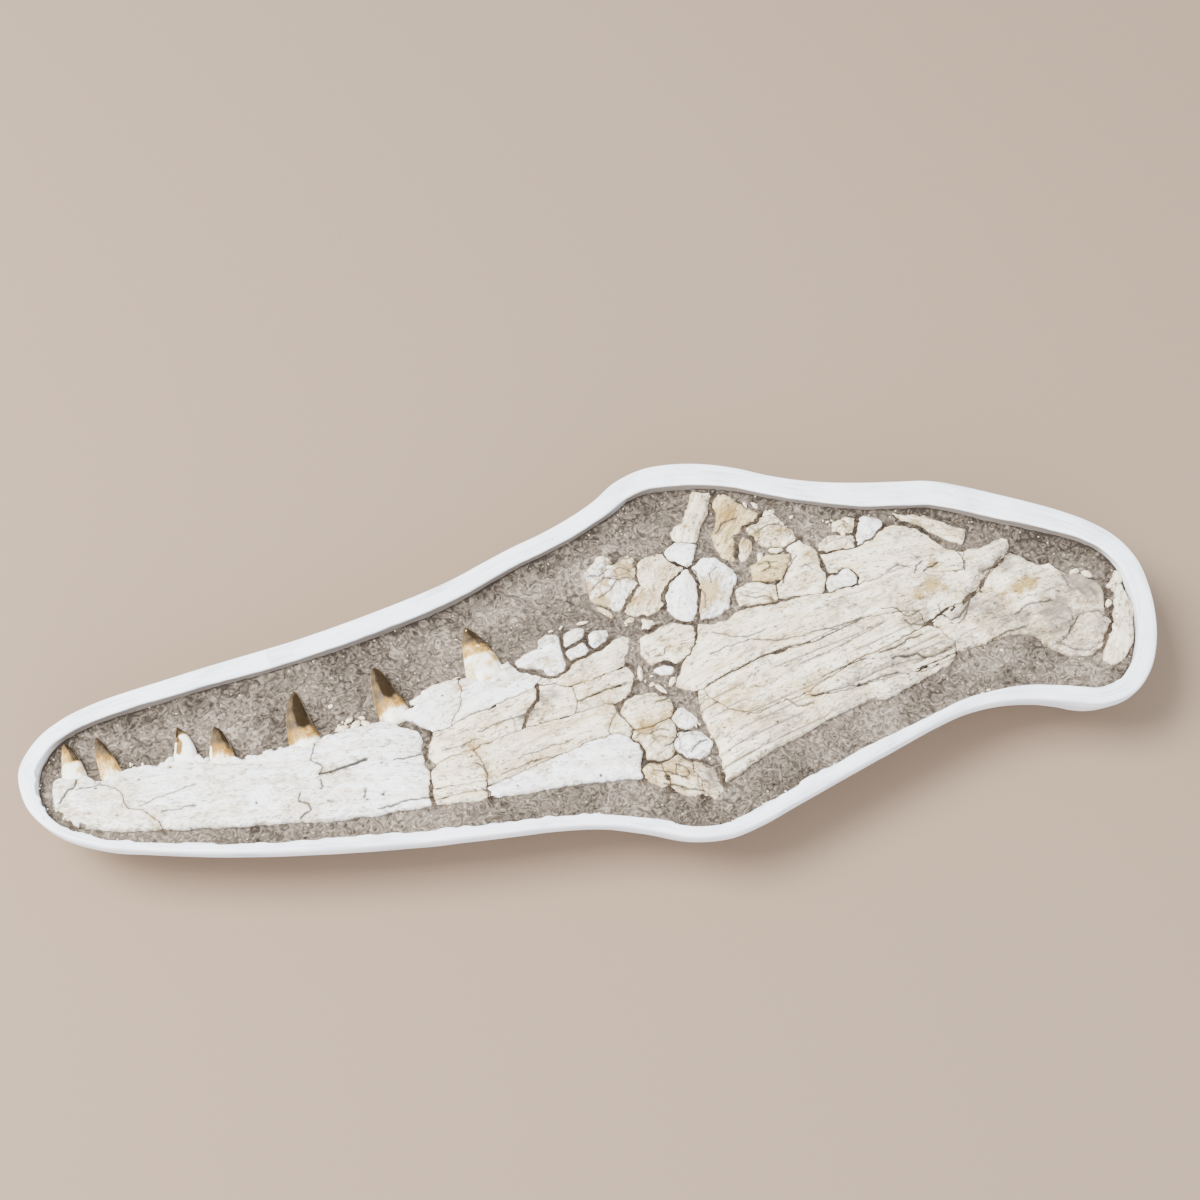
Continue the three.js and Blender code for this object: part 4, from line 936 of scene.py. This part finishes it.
LONG_STAINS = [
    (448, 80, 13, 1.5), (436, 72, 13, 1.1), (421, 62, 11, 0.9), (458, 64, 9, 0.8), (346, 78, 14, 1.4),
    (330, 64, 12, 1.0), (358, 75, 11, 1.0), (349, 108, 8, 1.0), (420, 60, 18, 0.5), (398, 70, 18, 0.5),
    (256, -8, 22, 0.4), (318, 34, 18, 0.45), (134, -74, 30, 0.4), (320, 62, 16, 0.5), (470, 50, 18, 0.35),
    (372, 66, 14, 0.6), (212, -54, 14, 0.45), (360, 18, 10, 0.3), (500, 62, 34, 0.4), (488, 12, 26, 0.5),
    (410, 28, 34, 0.4), (458, 24, 26, 0.4), (478, 88, 20, 0.4),
]
LONG_SWELLS = [
    (3.4, 5.5, [(436, 138), (418, 122), (402, 105), (388, 94)]),
    (-2.6, 6, [(436, 128), (421, 114), (408, 100), (396, 86), (384, 68)]),
    (1.6, 5, [(430, 112), (414, 98), (402, 82)]),
    (-1.0, 2.5, [(425, 113), (410, 100), (395, 76), (376, 53), (358, 40), (335, 26), (296, 3), (253, -22)]),
    (2.4, 4.5, [(300, 46), (327, 56), (352, 66), (376, 78)]),
    (-3.0, 9, [(372, 44), (392, 56), (409, 48), (432, 42)]), (2.6, 9, [(428, 84), (446, 86), (462, 78)]),
    (-2.4, 3.5, [(437, 38), (455, 48), (469, 58), (486, 61)]),
    (2.6, 4, [(444, 22), (466, 36), (484, 49), (494, 60)]), (2.4, 4, [(388, 18), (406, 30), (424, 40)]),
    (-1.8, 1.8, [(489, 40), (487, 25), (480, 16), (473, 10)]),
    (-1.8, 1.8, [(475, 9), (486, 0), (503, 0), (518, 12), (527, 33)]),
    (-1.5, 1.6, [(489, 40), (500, 44), (516, 48), (528, 42)]), (2.6, 8, [(498, 24), (512, 30)]),
    (3.4, 3, [(473, 108), (482, 94), (488, 76)]), (3.4, 4.5, [(499, 96), (507, 90)]),
    (3.6, 4.5, [(519, 82), (522, 78)]), (3.4, 4, [(509, 72), (512, 69)]), (3.0, 4, [(523, 68), (525, 62)]),
    (3.0, 4, [(498, 70), (501, 67)]), (2.4, 3.2, [(252, -37), (294, -15), (333, -2), (363, 8)]),
    (-2.2, 1.9, [(251, -44), (293, -22), (336, -8), (360, 2)]),
    (2.0, 3.2, [(255, -6), (297, 12), (337, 40)]), (-2.0, 2.4, [(448, 10), (468, 22), (486, 30)]),
    (2.0, 3, [(452, 4), (470, 14), (482, 18)]), (-1.8, 2.2, [(404, 20), (426, 30), (446, 28), (464, 36)]),
    (-1.8, 2, [(470, 62), (482, 56), (490, 46)]),
    (1.8, 3, [(120, -146), (156, -122), (223, -80), (269, -54)]),
    (-1.8, 2.0, [(126, -138), (160, -114), (222, -72), (268, -46)]),
]
LONG_DUST_AND_SHADE = [
    (508, 80, 32, 1.0), (476, 44, 34, 0.85), (409, 44, 28, 0.65), (424, 108, 14, 0.8), (488, 6, 26, 0.6),
    (398, 98, 12, 0.8), (330, 36, 18, 0.5), (500, 98, 18, 0.9), (300, -24, 28, 0.45), (396, 84, 11, 0.6),
    (440, 18, 26, 0.7), (520, 40, 22, 0.6), (180, -92, 30, 0.35), (260, -50, 30, 0.4), (372, 8, 20, 0.5),
]
for node, grain, ridge, ridge_size, pits, splits in (
        ("postdentary_1", 25, 0.35, 9, 1 / 1600, 0), ("postdentary_2", 29, 0.8, 8, 1 / 1200, 14),
        ("postdentary_3", 26, 0.45, 9, 1 / 1300, 17), ("postdentary_4", 28, 0.7, 6, 1 / 400, 7.5),
        ("postdentary_5", 12, 0.35, 9, 1 / 1000, 0), ("postdentary_6", 24, 0.5, 11, 1 / 1400, 0)):
    lay_bone(node, cream_bone, grain, 78, 8, 26, LONG_LINES, LONG_STAINS, ridge=ridge, ridge_size=ridge_size,
             pits=pits, flakes=0.8, splits=splits, swells=LONG_SWELLS, dust_and_shade_spots=LONG_DUST_AND_SHADE)
lay_bone("end_slab", cream_bone, 72, 77, 5, 12, ridge=0.6, ridge_size=5, flakes=0.6)

# The coronoid's plates and the two rods above them
# Thin plates, blocks and two rod-like splinters at the top of the jaw, some ochre and fibrous, some smooth
# and white. Rock and rubble fill the spaces between them, and they were cleaned with an air scribe.
# Iron-stained bone, scribed clean: ochre and tan over cream, matt, with fine brown cracks.
stained_bone = bone_finish("iron-stained fossil bone, air scribed", "#e0cd9d", "#b59c66", "#5b452d",
                           "#8b672a", streaks=0.5, hairs=0.8, gloss=0.34)
CORONOID = [
    ("rod_bone_a", cream_bone, 75, 78, 6, 10, 0.5, 0, [(100, 190, 16, 0.4), (92, 160, 14, 0.5)]),
    ("rod_bone_b", cream_bone, -18, 78, 6, 10, 0.5, 0, [(340, 165, 16, 0.4)]),
    ("coronoid_plate_a", stained_bone, 62, 77, 7, 18, 1.1, 0, [(134, 176, 20, 0.9), (146, 128, 12, 0.8)]),
    ("coronoid_plate_b", cream_bone, 80, 76, 4, 8, 0.6, 0, [(150, 135, 12, 0.7)]),
    ("coronoid_plate_c", cream_bone, 30, 77, 6, 14, 0.5, 1.2, [(188, 146, 16, 0.5), (164, 150, 10, 0.5)]),
    ("coronoid_plate_d", stained_bone, 5, 77, 5, 14, 0.4, 0, [(180, 102, 20, 0.6)]),
    ("coronoid_plate_e", cream_bone, 15, 77, 5, 14, 0.4, 0.8, [(176, 66, 10, 0.5)]),
    ("coronoid_plate_f", cream_bone, 30, 77, 6, 16, 0.4, 0, [(222, 120, 10, 0.8), (212, 86, 12, 0.5)]),
    ("coronoid_plate_g", white_bone, 10, 77, 5, 12, 0.3, 0, []),
    ("coronoid_plate_h", white_bone, 60, 77, 6, 16, 0.2, 0, []),
    ("coronoid_plate_i", cream_bone, 45, 76, 5, 10, 0.4, 2.4, [(262, 160, 14, 0.3)]),
    ("coronoid_plate_j", cream_bone, 40, 76, 5, 12, 0.4, 0.6, [(256, 134, 12, 0.4)]),
]
PLATE_LINES = [
    (0.9, [(165, 152), (178, 160), (192, 164), (203, 160)]), (0.7, [(152, 146), (160, 142), (168, 140)]),
    (1.0, [(122, 150), (128, 162), (142, 168)]), (0.8, [(142, 120), (144, 136), (150, 150)]),
    (0.9, [(190, 84), (193, 98), (200, 112), (206, 120)]), (0.7, [(184, 112), (172, 112), (164, 108)]),
    (0.8, [(176, 112), (178, 104), (170, 100)]), (0.7, [(150, 68), (160, 66), (172, 68), (180, 64)]),
    (0.6, [(210, 104), (216, 108), (222, 100)]),
]
for node, finish_of, grain, edge, rise, reach, ridge, lumps, stains in CORONOID:
    lay_bone(node, finish_of, grain, edge, rise, reach, PLATE_LINES, stains, ridge=ridge, ridge_size=6,
             lumps=lumps, lump_size=10, chips=1.0, grow=1.4, flakes=0.6)

# The teeth
# Seven curved crowns that stand in the dentary and lean forwards, half sunk in the rock. Each is a flattened
# cone of enamel with a keel on both sides: dark brown at the tip, tan lower down and white at the root.
TOOTH_LEVEL = 75.0
TOOTH_RINGS = 64
TOOTH_SIDES = 56
# Enamel, fossil and hand cleaned: a soft gloss over dark brown, grey-brown, ochre and a chalky root.
enamel, tree, shader = finish("fossil tooth enamel, cleaned and left bare")
lay = add(tree, "Attribute", {"attribute_name": "grain"}, "Vector")
at = add(tree, "Mapping", {"Vector": lay, "Scale": (1 / 14, 1 / 1.7, 1 / 3)})
fluting = add(tree, "TexNoise", {"Vector": at, "Scale": 1.0, "Detail": 4.0, "Distortion": 0.6})
at = add(tree, "Mapping", {"Vector": lay, "Scale": (1 / 5, 1 / 4, 1 / 4)})
spots = add(tree, "TexNoise", {"Vector": at, "Scale": 1.0, "Detail": 5.0, "Roughness": 0.7,
                               "Distortion": 0.8})
# The tooth's colour depth, with painted shade down its right side.
dark = add(tree, "Attribute", {"attribute_name": "stain"}, "Fac")
shift = add(tree, "Math", {"operation": "MULTIPLY_ADD", 0: spots, 1: 0.5, 2: -0.25})
shift = add(tree, "Math", {"operation": "MULTIPLY_ADD", 0: fluting, 1: 0.16, 2: shift})
shift = add(tree, "Math", {"operation": "ADD", 0: dark, 1: shift})
colour = add(tree, "ValToRGB", {"Fac": shift, "stops": [
    (0.0, "#fcfaf4"), (0.10, "#efe4c8"), (0.20, "#c4a163"), (0.33, "#8f6a2e"), (0.46, "#625038"),
    (0.60, "#463a2a"), (0.76, "#2b1f0c"), (0.90, "#261a07")]})
keel = add(tree, "Attribute", {"attribute_name": "seam"}, "Fac")
worn = add(tree, "Mix", {"data_type": "RGBA", 0: keel, 6: colour, 7: "#a99673"}, 2)
tree.links.new(worn, shader.inputs["Base Color"])
bump = add(tree, "Bump", {"Strength": 0.5, "Distance": 0.35 * MM, "Height": fluting})
bump = add(tree, "Bump", {"Strength": 0.3, "Distance": 0.3 * MM, "Height": spots, "Normal": bump})
tree.links.new(bump, shader.inputs["Normal"])
shader.inputs["Roughness"].default_value = 0.4
shader.inputs["Specular IOR Level"].default_value = 0.14


def set_tooth(name, node, root, middle, tip, width, depths, blunt=0.16, painted_right_shade=0.25, crack=None, blots=()):
    """A crown and its root on a curve from root to tip. Depths are (share of length, depth of colour) pairs,
    and the right side is darkened towards its keel by painted shade, as if lit from the left. Crack is the
    share where the root starts, and blots are share of length, place across, their two radii and depth."""
    a, m, b = (np.array(p, float) + JAW_PLACE for p in (root, middle, tip))
    bend = 2 * m - (a + b) / 2
    t = 1 - (1 - np.linspace(0, 1, TOOTH_RINGS)) ** 1.25
    line = ((1 - t) ** 2)[:, None] * a + (2 * t * (1 - t))[:, None] * bend + (t ** 2)[:, None] * b
    along = 2 * (1 - t)[:, None] * (bend - a) + 2 * t[:, None] * (b - bend)
    along /= np.hypot(*along.T)[:, None]
    side = np.c_[along[:, 1], -along[:, 0]]
    half = 0.59 * width * (1 - t * 0.985) ** 0.6
    half *= 1 - np.clip((t - 1 + blunt) / blunt, 0, 1) ** 3 * 0.35
    run = t * np.hypot(*(b - a))
    turn = np.linspace(0, 2 * math.pi, TOOTH_SIDES, endpoint=False)
    cx, cz = np.cos(turn), np.sin(turn)
    flute = 1 + 0.018 * np.cos(7 * turn) + 0.012 * np.cos(13 * turn + 1)
    across = half[:, None] * cx * flute
    up = 0.66 * half[:, None] * np.sign(cz) * abs(cz) ** 1.12 * flute
    rise = 0.8 * mottle(run[:, None], cx * 6, 9, 91) + 0.35 * mottle(run[:, None], cx * 9, 3.5, 92)
    rise *= cz > 0
    if crack:
        gap = abs(t[:, None] - crack - 0.05 * mottle(cx * 8, 0 * cx, 5, 93))
        rise = rise - 1.1 * np.exp(-(gap * 60 / 1.1) ** 2)
        rise = rise + 0.7 * (t[:, None] < crack)
    across += 0.25 * mottle(run[:, None], cz * 8, 6, 94)
    points = np.empty((TOOTH_RINGS, TOOTH_SIDES, 3))
    points[:, :, 0] = line[:, 0, None] + side[:, 0, None] * across
    points[:, :, 1] = line[:, 1, None] + side[:, 1, None] * across
    sunk = 9.0 * np.clip(1 - t / 0.42, 0, 1) ** 1.5
    points[:, :, 2] = TOOTH_LEVEL + up + rise * np.clip(half / 6, 0, 1)[:, None] - sunk[:, None]
    *squares, root_end, tip_end = tube_faces(TOOTH_RINGS, TOOTH_SIDES)
    faces = [(a, d, c, b) for a, b, c, d in squares] + [root_end[::-1], tip_end[::-1]]
    # Colour depth along the tooth, with painted shade added down its right side.
    stain = np.interp(t, *zip(*depths))[:, None] + painted_right_shade * cx * np.clip((t - 0.2) / 0.3, 0, 1)[:, None]
    stain = stain + 0.10 * mottle(run[:, None], cx * half[:, None], 7, 95)
    for place_along, place_across, long, wide, darker in blots:
        blot = np.hypot((t[:, None] - place_along) / long, (cx - place_across) / wide)
        blot = blot + 0.14 * mottle(run[:, None], cx * 9, 5, 98)
        stain = stain + darker * np.clip((1.08 - blot) * 5, 0, 1)
    keel = np.clip((abs(cx) - 0.9) / 0.08, 0, 1)[None, :] * np.clip((t - 0.3) / 0.2, 0, 1)[:, None] * 0.85
    grain = np.stack(np.broadcast_arrays(run[:, None], across, up), 2)
    mesh_piece(name, points.reshape(-1, 3), faces,
               {"grain": grain.reshape(-1, 3), "stain": stain.ravel(),
                "seam": np.broadcast_to(keel, stain.shape).ravel()}, enamel, [node])


set_tooth("tooth_1", "dentary_front_1", (-519, -162), (-528, -134), (-539, -111), 24,
          [(0, 0.0), (0.46, 0.0), (0.50, 0.2), (0.7, 0.26), (1, 0.36)], blunt=0.34, painted_right_shade=0.12, crack=0.48,
          blots=[(0.78, 0.62, 0.34, 0.5, 0.26)])
set_tooth("tooth_2", "dentary_front_2", (-480, -158), (-496, -127), (-508, -104), 21,
          [(0, 0.04), (0.25, 0.12), (0.42, 0.2), (0.5, 0.3), (0.58, 0.48), (1, 0.56)], blunt=0.4, painted_right_shade=0.12,
          blots=[(0.72, 0.8, 0.26, 0.25, 0.2)])
set_tooth("tooth_3", "dentary_front_2", (-414, -142), (-418, -115), (-428, -92), 25,
          [(0, -0.12), (0.6, -0.1), (0.74, 0.0), (0.8, 0.48), (1, 0.6)], blunt=0.4, painted_right_shade=0.02,
          blots=[(0.48, -0.42, 0.2, 0.32, 0.4), (0.76, -0.7, 0.14, 0.35, 0.45)])
set_tooth("tooth_4", "dentary_front_2", (-376, -142), (-383, -112), (-391, -91), 25,
          [(0, -0.05), (0.22, 0.08), (0.34, 0.24), (0.46, 0.3), (0.54, 0.5), (1, 0.56)], blunt=0.3, painted_right_shade=0.12,
          blots=[(0.68, 0.7, 0.34, 0.3, 0.26), (0.32, -0.95, 0.2, 0.2, -0.4)])
set_tooth("tooth_5", "dentary_front_2", (-292, -122), (-307, -84), (-314, -49), 31,
          [(0, -0.05), (0.15, -0.02), (0.19, 0.16), (0.31, 0.24), (0.36, 0.46), (1, 0.54)],
          blunt=0.12, painted_right_shade=0.06, blots=[(0.64, 0.28, 0.34, 0.56, 0.4)])
set_tooth("tooth_6", "dentary_front_2", (-205, -86), (-223, -49), (-235, -20), 30,
          [(0, -0.05), (0.16, 0.02), (0.2, 0.18), (0.31, 0.26), (0.36, 0.46), (1, 0.54)],
          blunt=0.16, painted_right_shade=0.06, blots=[(0.63, 0.24, 0.34, 0.58, 0.4)])
set_tooth("tooth_7", "dentary_rear_6", (-116, -38), (-130, -2), (-143, 29), 38,
          [(0, 0.0), (0.38, 0.02), (0.44, 0.2), (0.62, 0.28), (0.70, 0.5), (1, 0.56)], blunt=0.42, painted_right_shade=0.1,
          crack=0.42, blots=[(0.84, 0.3, 0.14, 0.4, 0.4), (0.6, 0.55, 0.12, 0.4, 0.2),
                             (0.54, 0.4, 0.03, 0.5, -0.2), (0.93, -0.1, 0.02, 0.4, -0.6)])

# Loose slivers and crumbs
# Small bits of bone that broke away and were left where they lay in the rock, and grains of the rock itself.


def scatter(name, stones, material):
    """One mesh of many small broken stones: x, y, length, width, direction, height of the top, and stain."""
    points, faces, grain, stain = [], [], [], []
    sides, tiers = 9, 4
    for number, (sx, sy, long, wide, heading, top, depth) in enumerate(stones):
        c, s = math.cos(math.radians(heading)), math.sin(math.radians(heading))
        start, tall = len(points), min(wide, 7)
        for tier in range(tiers + 1):
            climb = math.pi * (tier / tiers - 0.5)
            for k in range(sides):
                turn = 2 * math.pi * k / sides
                px, py = math.cos(turn) * math.cos(climb), math.sin(turn) * math.cos(climb)
                wear = 1 + 0.42 * float(mottle(px * 2 + number * 3.7, py * 2 + tier * 0.4, 1.0, 96))
                px, py = px * wear * long / 2, py * wear * wide / 2
                pz = math.sin(climb) * (1 + 0.2 * float(mottle(px + number, py, 2.0, 97))) * tall * 0.42
                points.append((sx + px * c - py * s, sy - 2 + px * s + py * c, top - tall * 0.42 + pz))
                grain.append((px, py, pz))
                stain.append(depth)
        faces += tube_faces(tiers + 1, sides, start)
    none = [0.0] * len(points)
    mesh_piece(name, points, faces,
               {"grain": grain, "stain": stain, "seam": [1.0] * len(points), "dust": none, "shade": none,
                "gap": none, "soil": none, "run": grain}, material)


SLIVERS = [
    (38, -27, 19, 6, 98, 77.5, 0.1), (3, 49, 24, 7, -38, 77, 0.7), (-22, 36, 13, 4, 18, 76, 0.1),
    (28, 40, 12, 8, 20, 75.5, 0.6), (184, 129, 17, 8, 4, 77.5, 0.1), (-2, 116, 13, 11, 30, 79, 0.2),
    (28, 113, 12, 8, 50, 79, 0.4), (8, 103, 12, 12, 10, 80.5, 0.1), (-12, 103, 11, 9, 60, 79, 0.3),
    (-276, -65, 6, 4, 40, 74.5, 0.0), (46, 32, 10, 8, 70, 76, 0.2), (50, -40, 7, 5, 20, 76, 0.0),
    (59, -45, 16, 5, -42, 76.5, 0.0), (71, -36, 12, 7, 70, 76, 0.1), (168, 121, 12, 7, 74, 77, 0.1),
    (322, 44, 9, 7, 60, 79.5, 0.3), (334, 40, 8, 7, 20, 79.5, 0.3), (318, 34, 7, 4, 70, 79, 0.1),
    (312, 40, 8, 3, 50, 79, 0.2), (328, 51, 9, 4, 10, 79.5, 0.2), (252, 163, 12, 8, 40, 79, 0.05),
    (264, 168, 10, 9, 10, 79.5, 0.05), (258, 152, 10, 7, 70, 79, 0.1), (180, 178, 14, 8, 60, 78, 0.0),
    (192, 166, 10, 6, -50, 77, 0.2), (165, 190, 12, 6, -55, 77, 0.2), (154, 192, 10, 4, -65, 76.5, 0.2),
    (-150, -34, 12, 4, 24, 76.5, 0.2), (-162, -38, 10, 4, 30, 76, 0.3), (-44, 30, 6, 3, 60, 75, 0.1),
    (-54, 26, 5, 3, 20, 75, 0.1), (208, -58, 9, 5, 40, 79, 0.1), (216, -54, 7, 4, 10, 79, 0.2),
    (202, -64, 6, 5, 80, 78.5, 0.3), (186, -60, 8, 4, 0, 78, 0.4), (192, -66, 6, 4, 50, 78, 0.2),
    (412, 3, 4, 3, 0, 74.5, 0.0), (386, -50, 6, 4, 40, 74.5, 0.0), (393, -46, 5, 3, 10, 74.5, 0.0),
    (-262, -93, 15, 8, 12, 77.5, 0.1), (-249, -90, 14, 9, 60, 78, 0.2), (-238, -88, 13, 7, -30, 78, 0.0),
    (-229, -90, 10, 6, 20, 77.5, 0.1), (-256, -83, 9, 5, 45, 76.5, 0.0), (-243, -80, 7, 4, -20, 76, 0.1),
    (512, 98, 14, 9, -20, 78, 0.2), (500, 101, 12, 8, 20, 78, 0.2), (530, 60, 10, 7, 60, 79, 0.2),
    (544, 94, 16, 11, 75, 80, 0.1), (535, 84, 9, 6, 40, 77, 0.3),
]
chance = np.random.default_rng(88)
for count, (west, east), (south, north), most, dirt in (
        (9, (-268, -240), (-96, -80), 4, 0.1), (10, (-470, -430), (-143, -134), 6, 0.1),
        (14, (66, 112), (-136, -76), 6, 0.4), (18, (160, 205), (140, 190), 6, 0.3),
        (10, (236, 268), (150, 172), 5, 0.2), (12, (20, 66), (-48, 40), 5, 0.3)):
    for _ in range(count):
        SLIVERS.append((chance.uniform(west, east), chance.uniform(south, north), chance.uniform(2.5, most),
                        chance.uniform(1.5, 0.6 * most), chance.uniform(0, 180), chance.uniform(74.5, 76.5),
                        chance.uniform(0, dirt)))
scatter("loose_bone_slivers", SLIVERS, cream_bone)
SHEATHS = [
    (-452, -140, 24, 8, 6, 79.5, 0.0), (-436, -138, 15, 10, 50, 79, 0.0),
    (-462, -142, 12, 7, -30, 78.5, 0.0), (-431, -134, 17, 10, 62, 80, 0.0),
    (-400, -131, 18, 9, -35, 80, 0.0), (-418, -136, 26, 9, 4, 80.5, 0.0), (-394, -130, 10, 6, 80, 78, 0.0),
    (-364, -131, 18, 8, -20, 79.5, 0.0), (-350, -127, 14, 6, 10, 78.5, 0.0),
    (-334, -121, 12, 5, 24, 78, 0.0), (-322, -117, 8, 4, 40, 77, 0.0), (-488, -152, 10, 7, 70, 78, 0.1),
    (-500, -156, 9, 5, 30, 76.5, 0.1), (-276, -104, 12, 7, 20, 78, 0.0), (-187, -60, 15, 9, 20, 79, 0.0),
]
scatter("white_bone_slivers", SHEATHS, white_bone)
crumbs = []
for k in range(JACKET_STEPS):
    if front[k] > 0.6 and chance.random() < 0.12:
        cx, cy = rim[k] + inward[k] * (thick[k] + 2.0 + 3.0 * chance.random() ** 2 + 2.5 * tear[k])
        size = chance.uniform(1.0, 3.0)
        crumbs.append((cx, cy + 2, size, 0.7 * size, chance.uniform(0, 180), chance.uniform(74, 77), 0.0))
scatter("plaster_crumbs", crumbs, plaster)
GRAIN_COUNT = 420
grains = []
while len(grains) < GRAIN_COUNT:
    gx, gy = chance.uniform(-545, 550), chance.uniform(-225, 205)
    near = np.argmin((sx - gx) ** 2 + (sy - gy) ** 2)
    if under[near] < -2 and wall[near] > 3:
        size = chance.uniform(1.4, 3.6)
        grains.append((sx[near], sy[near] + 2, size, size * 0.75, chance.uniform(0, 180),
                       level[near] + 0.4 * size, 0.0))
scatter("rock_grains", grains, marl)

# The floor, the light and the camera
# A plain beige floor under soft studio light, strong from the upper left and weaker from the front. The
# camera looks from the front, at 55 degrees above the floor, with a 60 mm lens.
pale_floor, tree, shader = finish("matt painted floor, plain beige")
shader.inputs["Base Color"].default_value = linear("#887460")
shader.inputs["Roughness"].default_value = 0.9
floor_mesh = bpy.data.meshes.new("floor")
floor_mesh.from_pydata([(-9, -9, 0), (9, -9, 0), (9, 9, 0), (-9, 9, 0)], [], [(0, 1, 2, 3)])
floor_mesh.materials.append(pale_floor)
floor = bpy.data.objects.new("floor", floor_mesh)
bpy.context.scene.collection.objects.link(floor)


def soft_light(name, place, target, size, power, tint):
    """A square studio light that faces a point."""
    lamp = bpy.data.lights.new(name, "AREA")
    lamp.shape = "SQUARE"
    lamp.size = size
    lamp.energy = power
    lamp.color = linear(tint)[:3]
    light_object = bpy.data.objects.new(name, lamp)
    light_object.location = place
    light_object.rotation_euler = (Vector(target) - Vector(place)).to_track_quat("-Z", "Y").to_euler()
    bpy.context.scene.collection.objects.link(light_object)


soft_light("key", (-2.8, -0.25, 4.2), (0, 0, 0.05), 2.8, 840, "#ffffff")
soft_light("fill", (0.4, -4.6, 2.7), (0, 0, 0.05), 3.4, 280, "#f2f4ff")
world = bpy.data.worlds.new("studio")
world.use_nodes = True
world.node_tree.nodes["Background"].inputs["Color"].default_value = linear("#e8eef8")
world.node_tree.nodes["Background"].inputs["Strength"].default_value = 1.6
bpy.context.scene.world = world

ELEVATION = math.radians(55)
aim = Vector((-0.003, 0.063, 0.075))
camera_data = bpy.data.cameras.new("camera")
camera_data.lens = 60
camera_data.sensor_width = 36
camera = bpy.data.objects.new("camera", camera_data)
camera.location = aim + 2.1 * Vector((0, -math.cos(ELEVATION), math.sin(ELEVATION)))
camera.rotation_euler = (aim - camera.location).to_track_quat("-Z", "Y").to_euler()
bpy.context.scene.collection.objects.link(camera)
bpy.context.scene.camera = camera
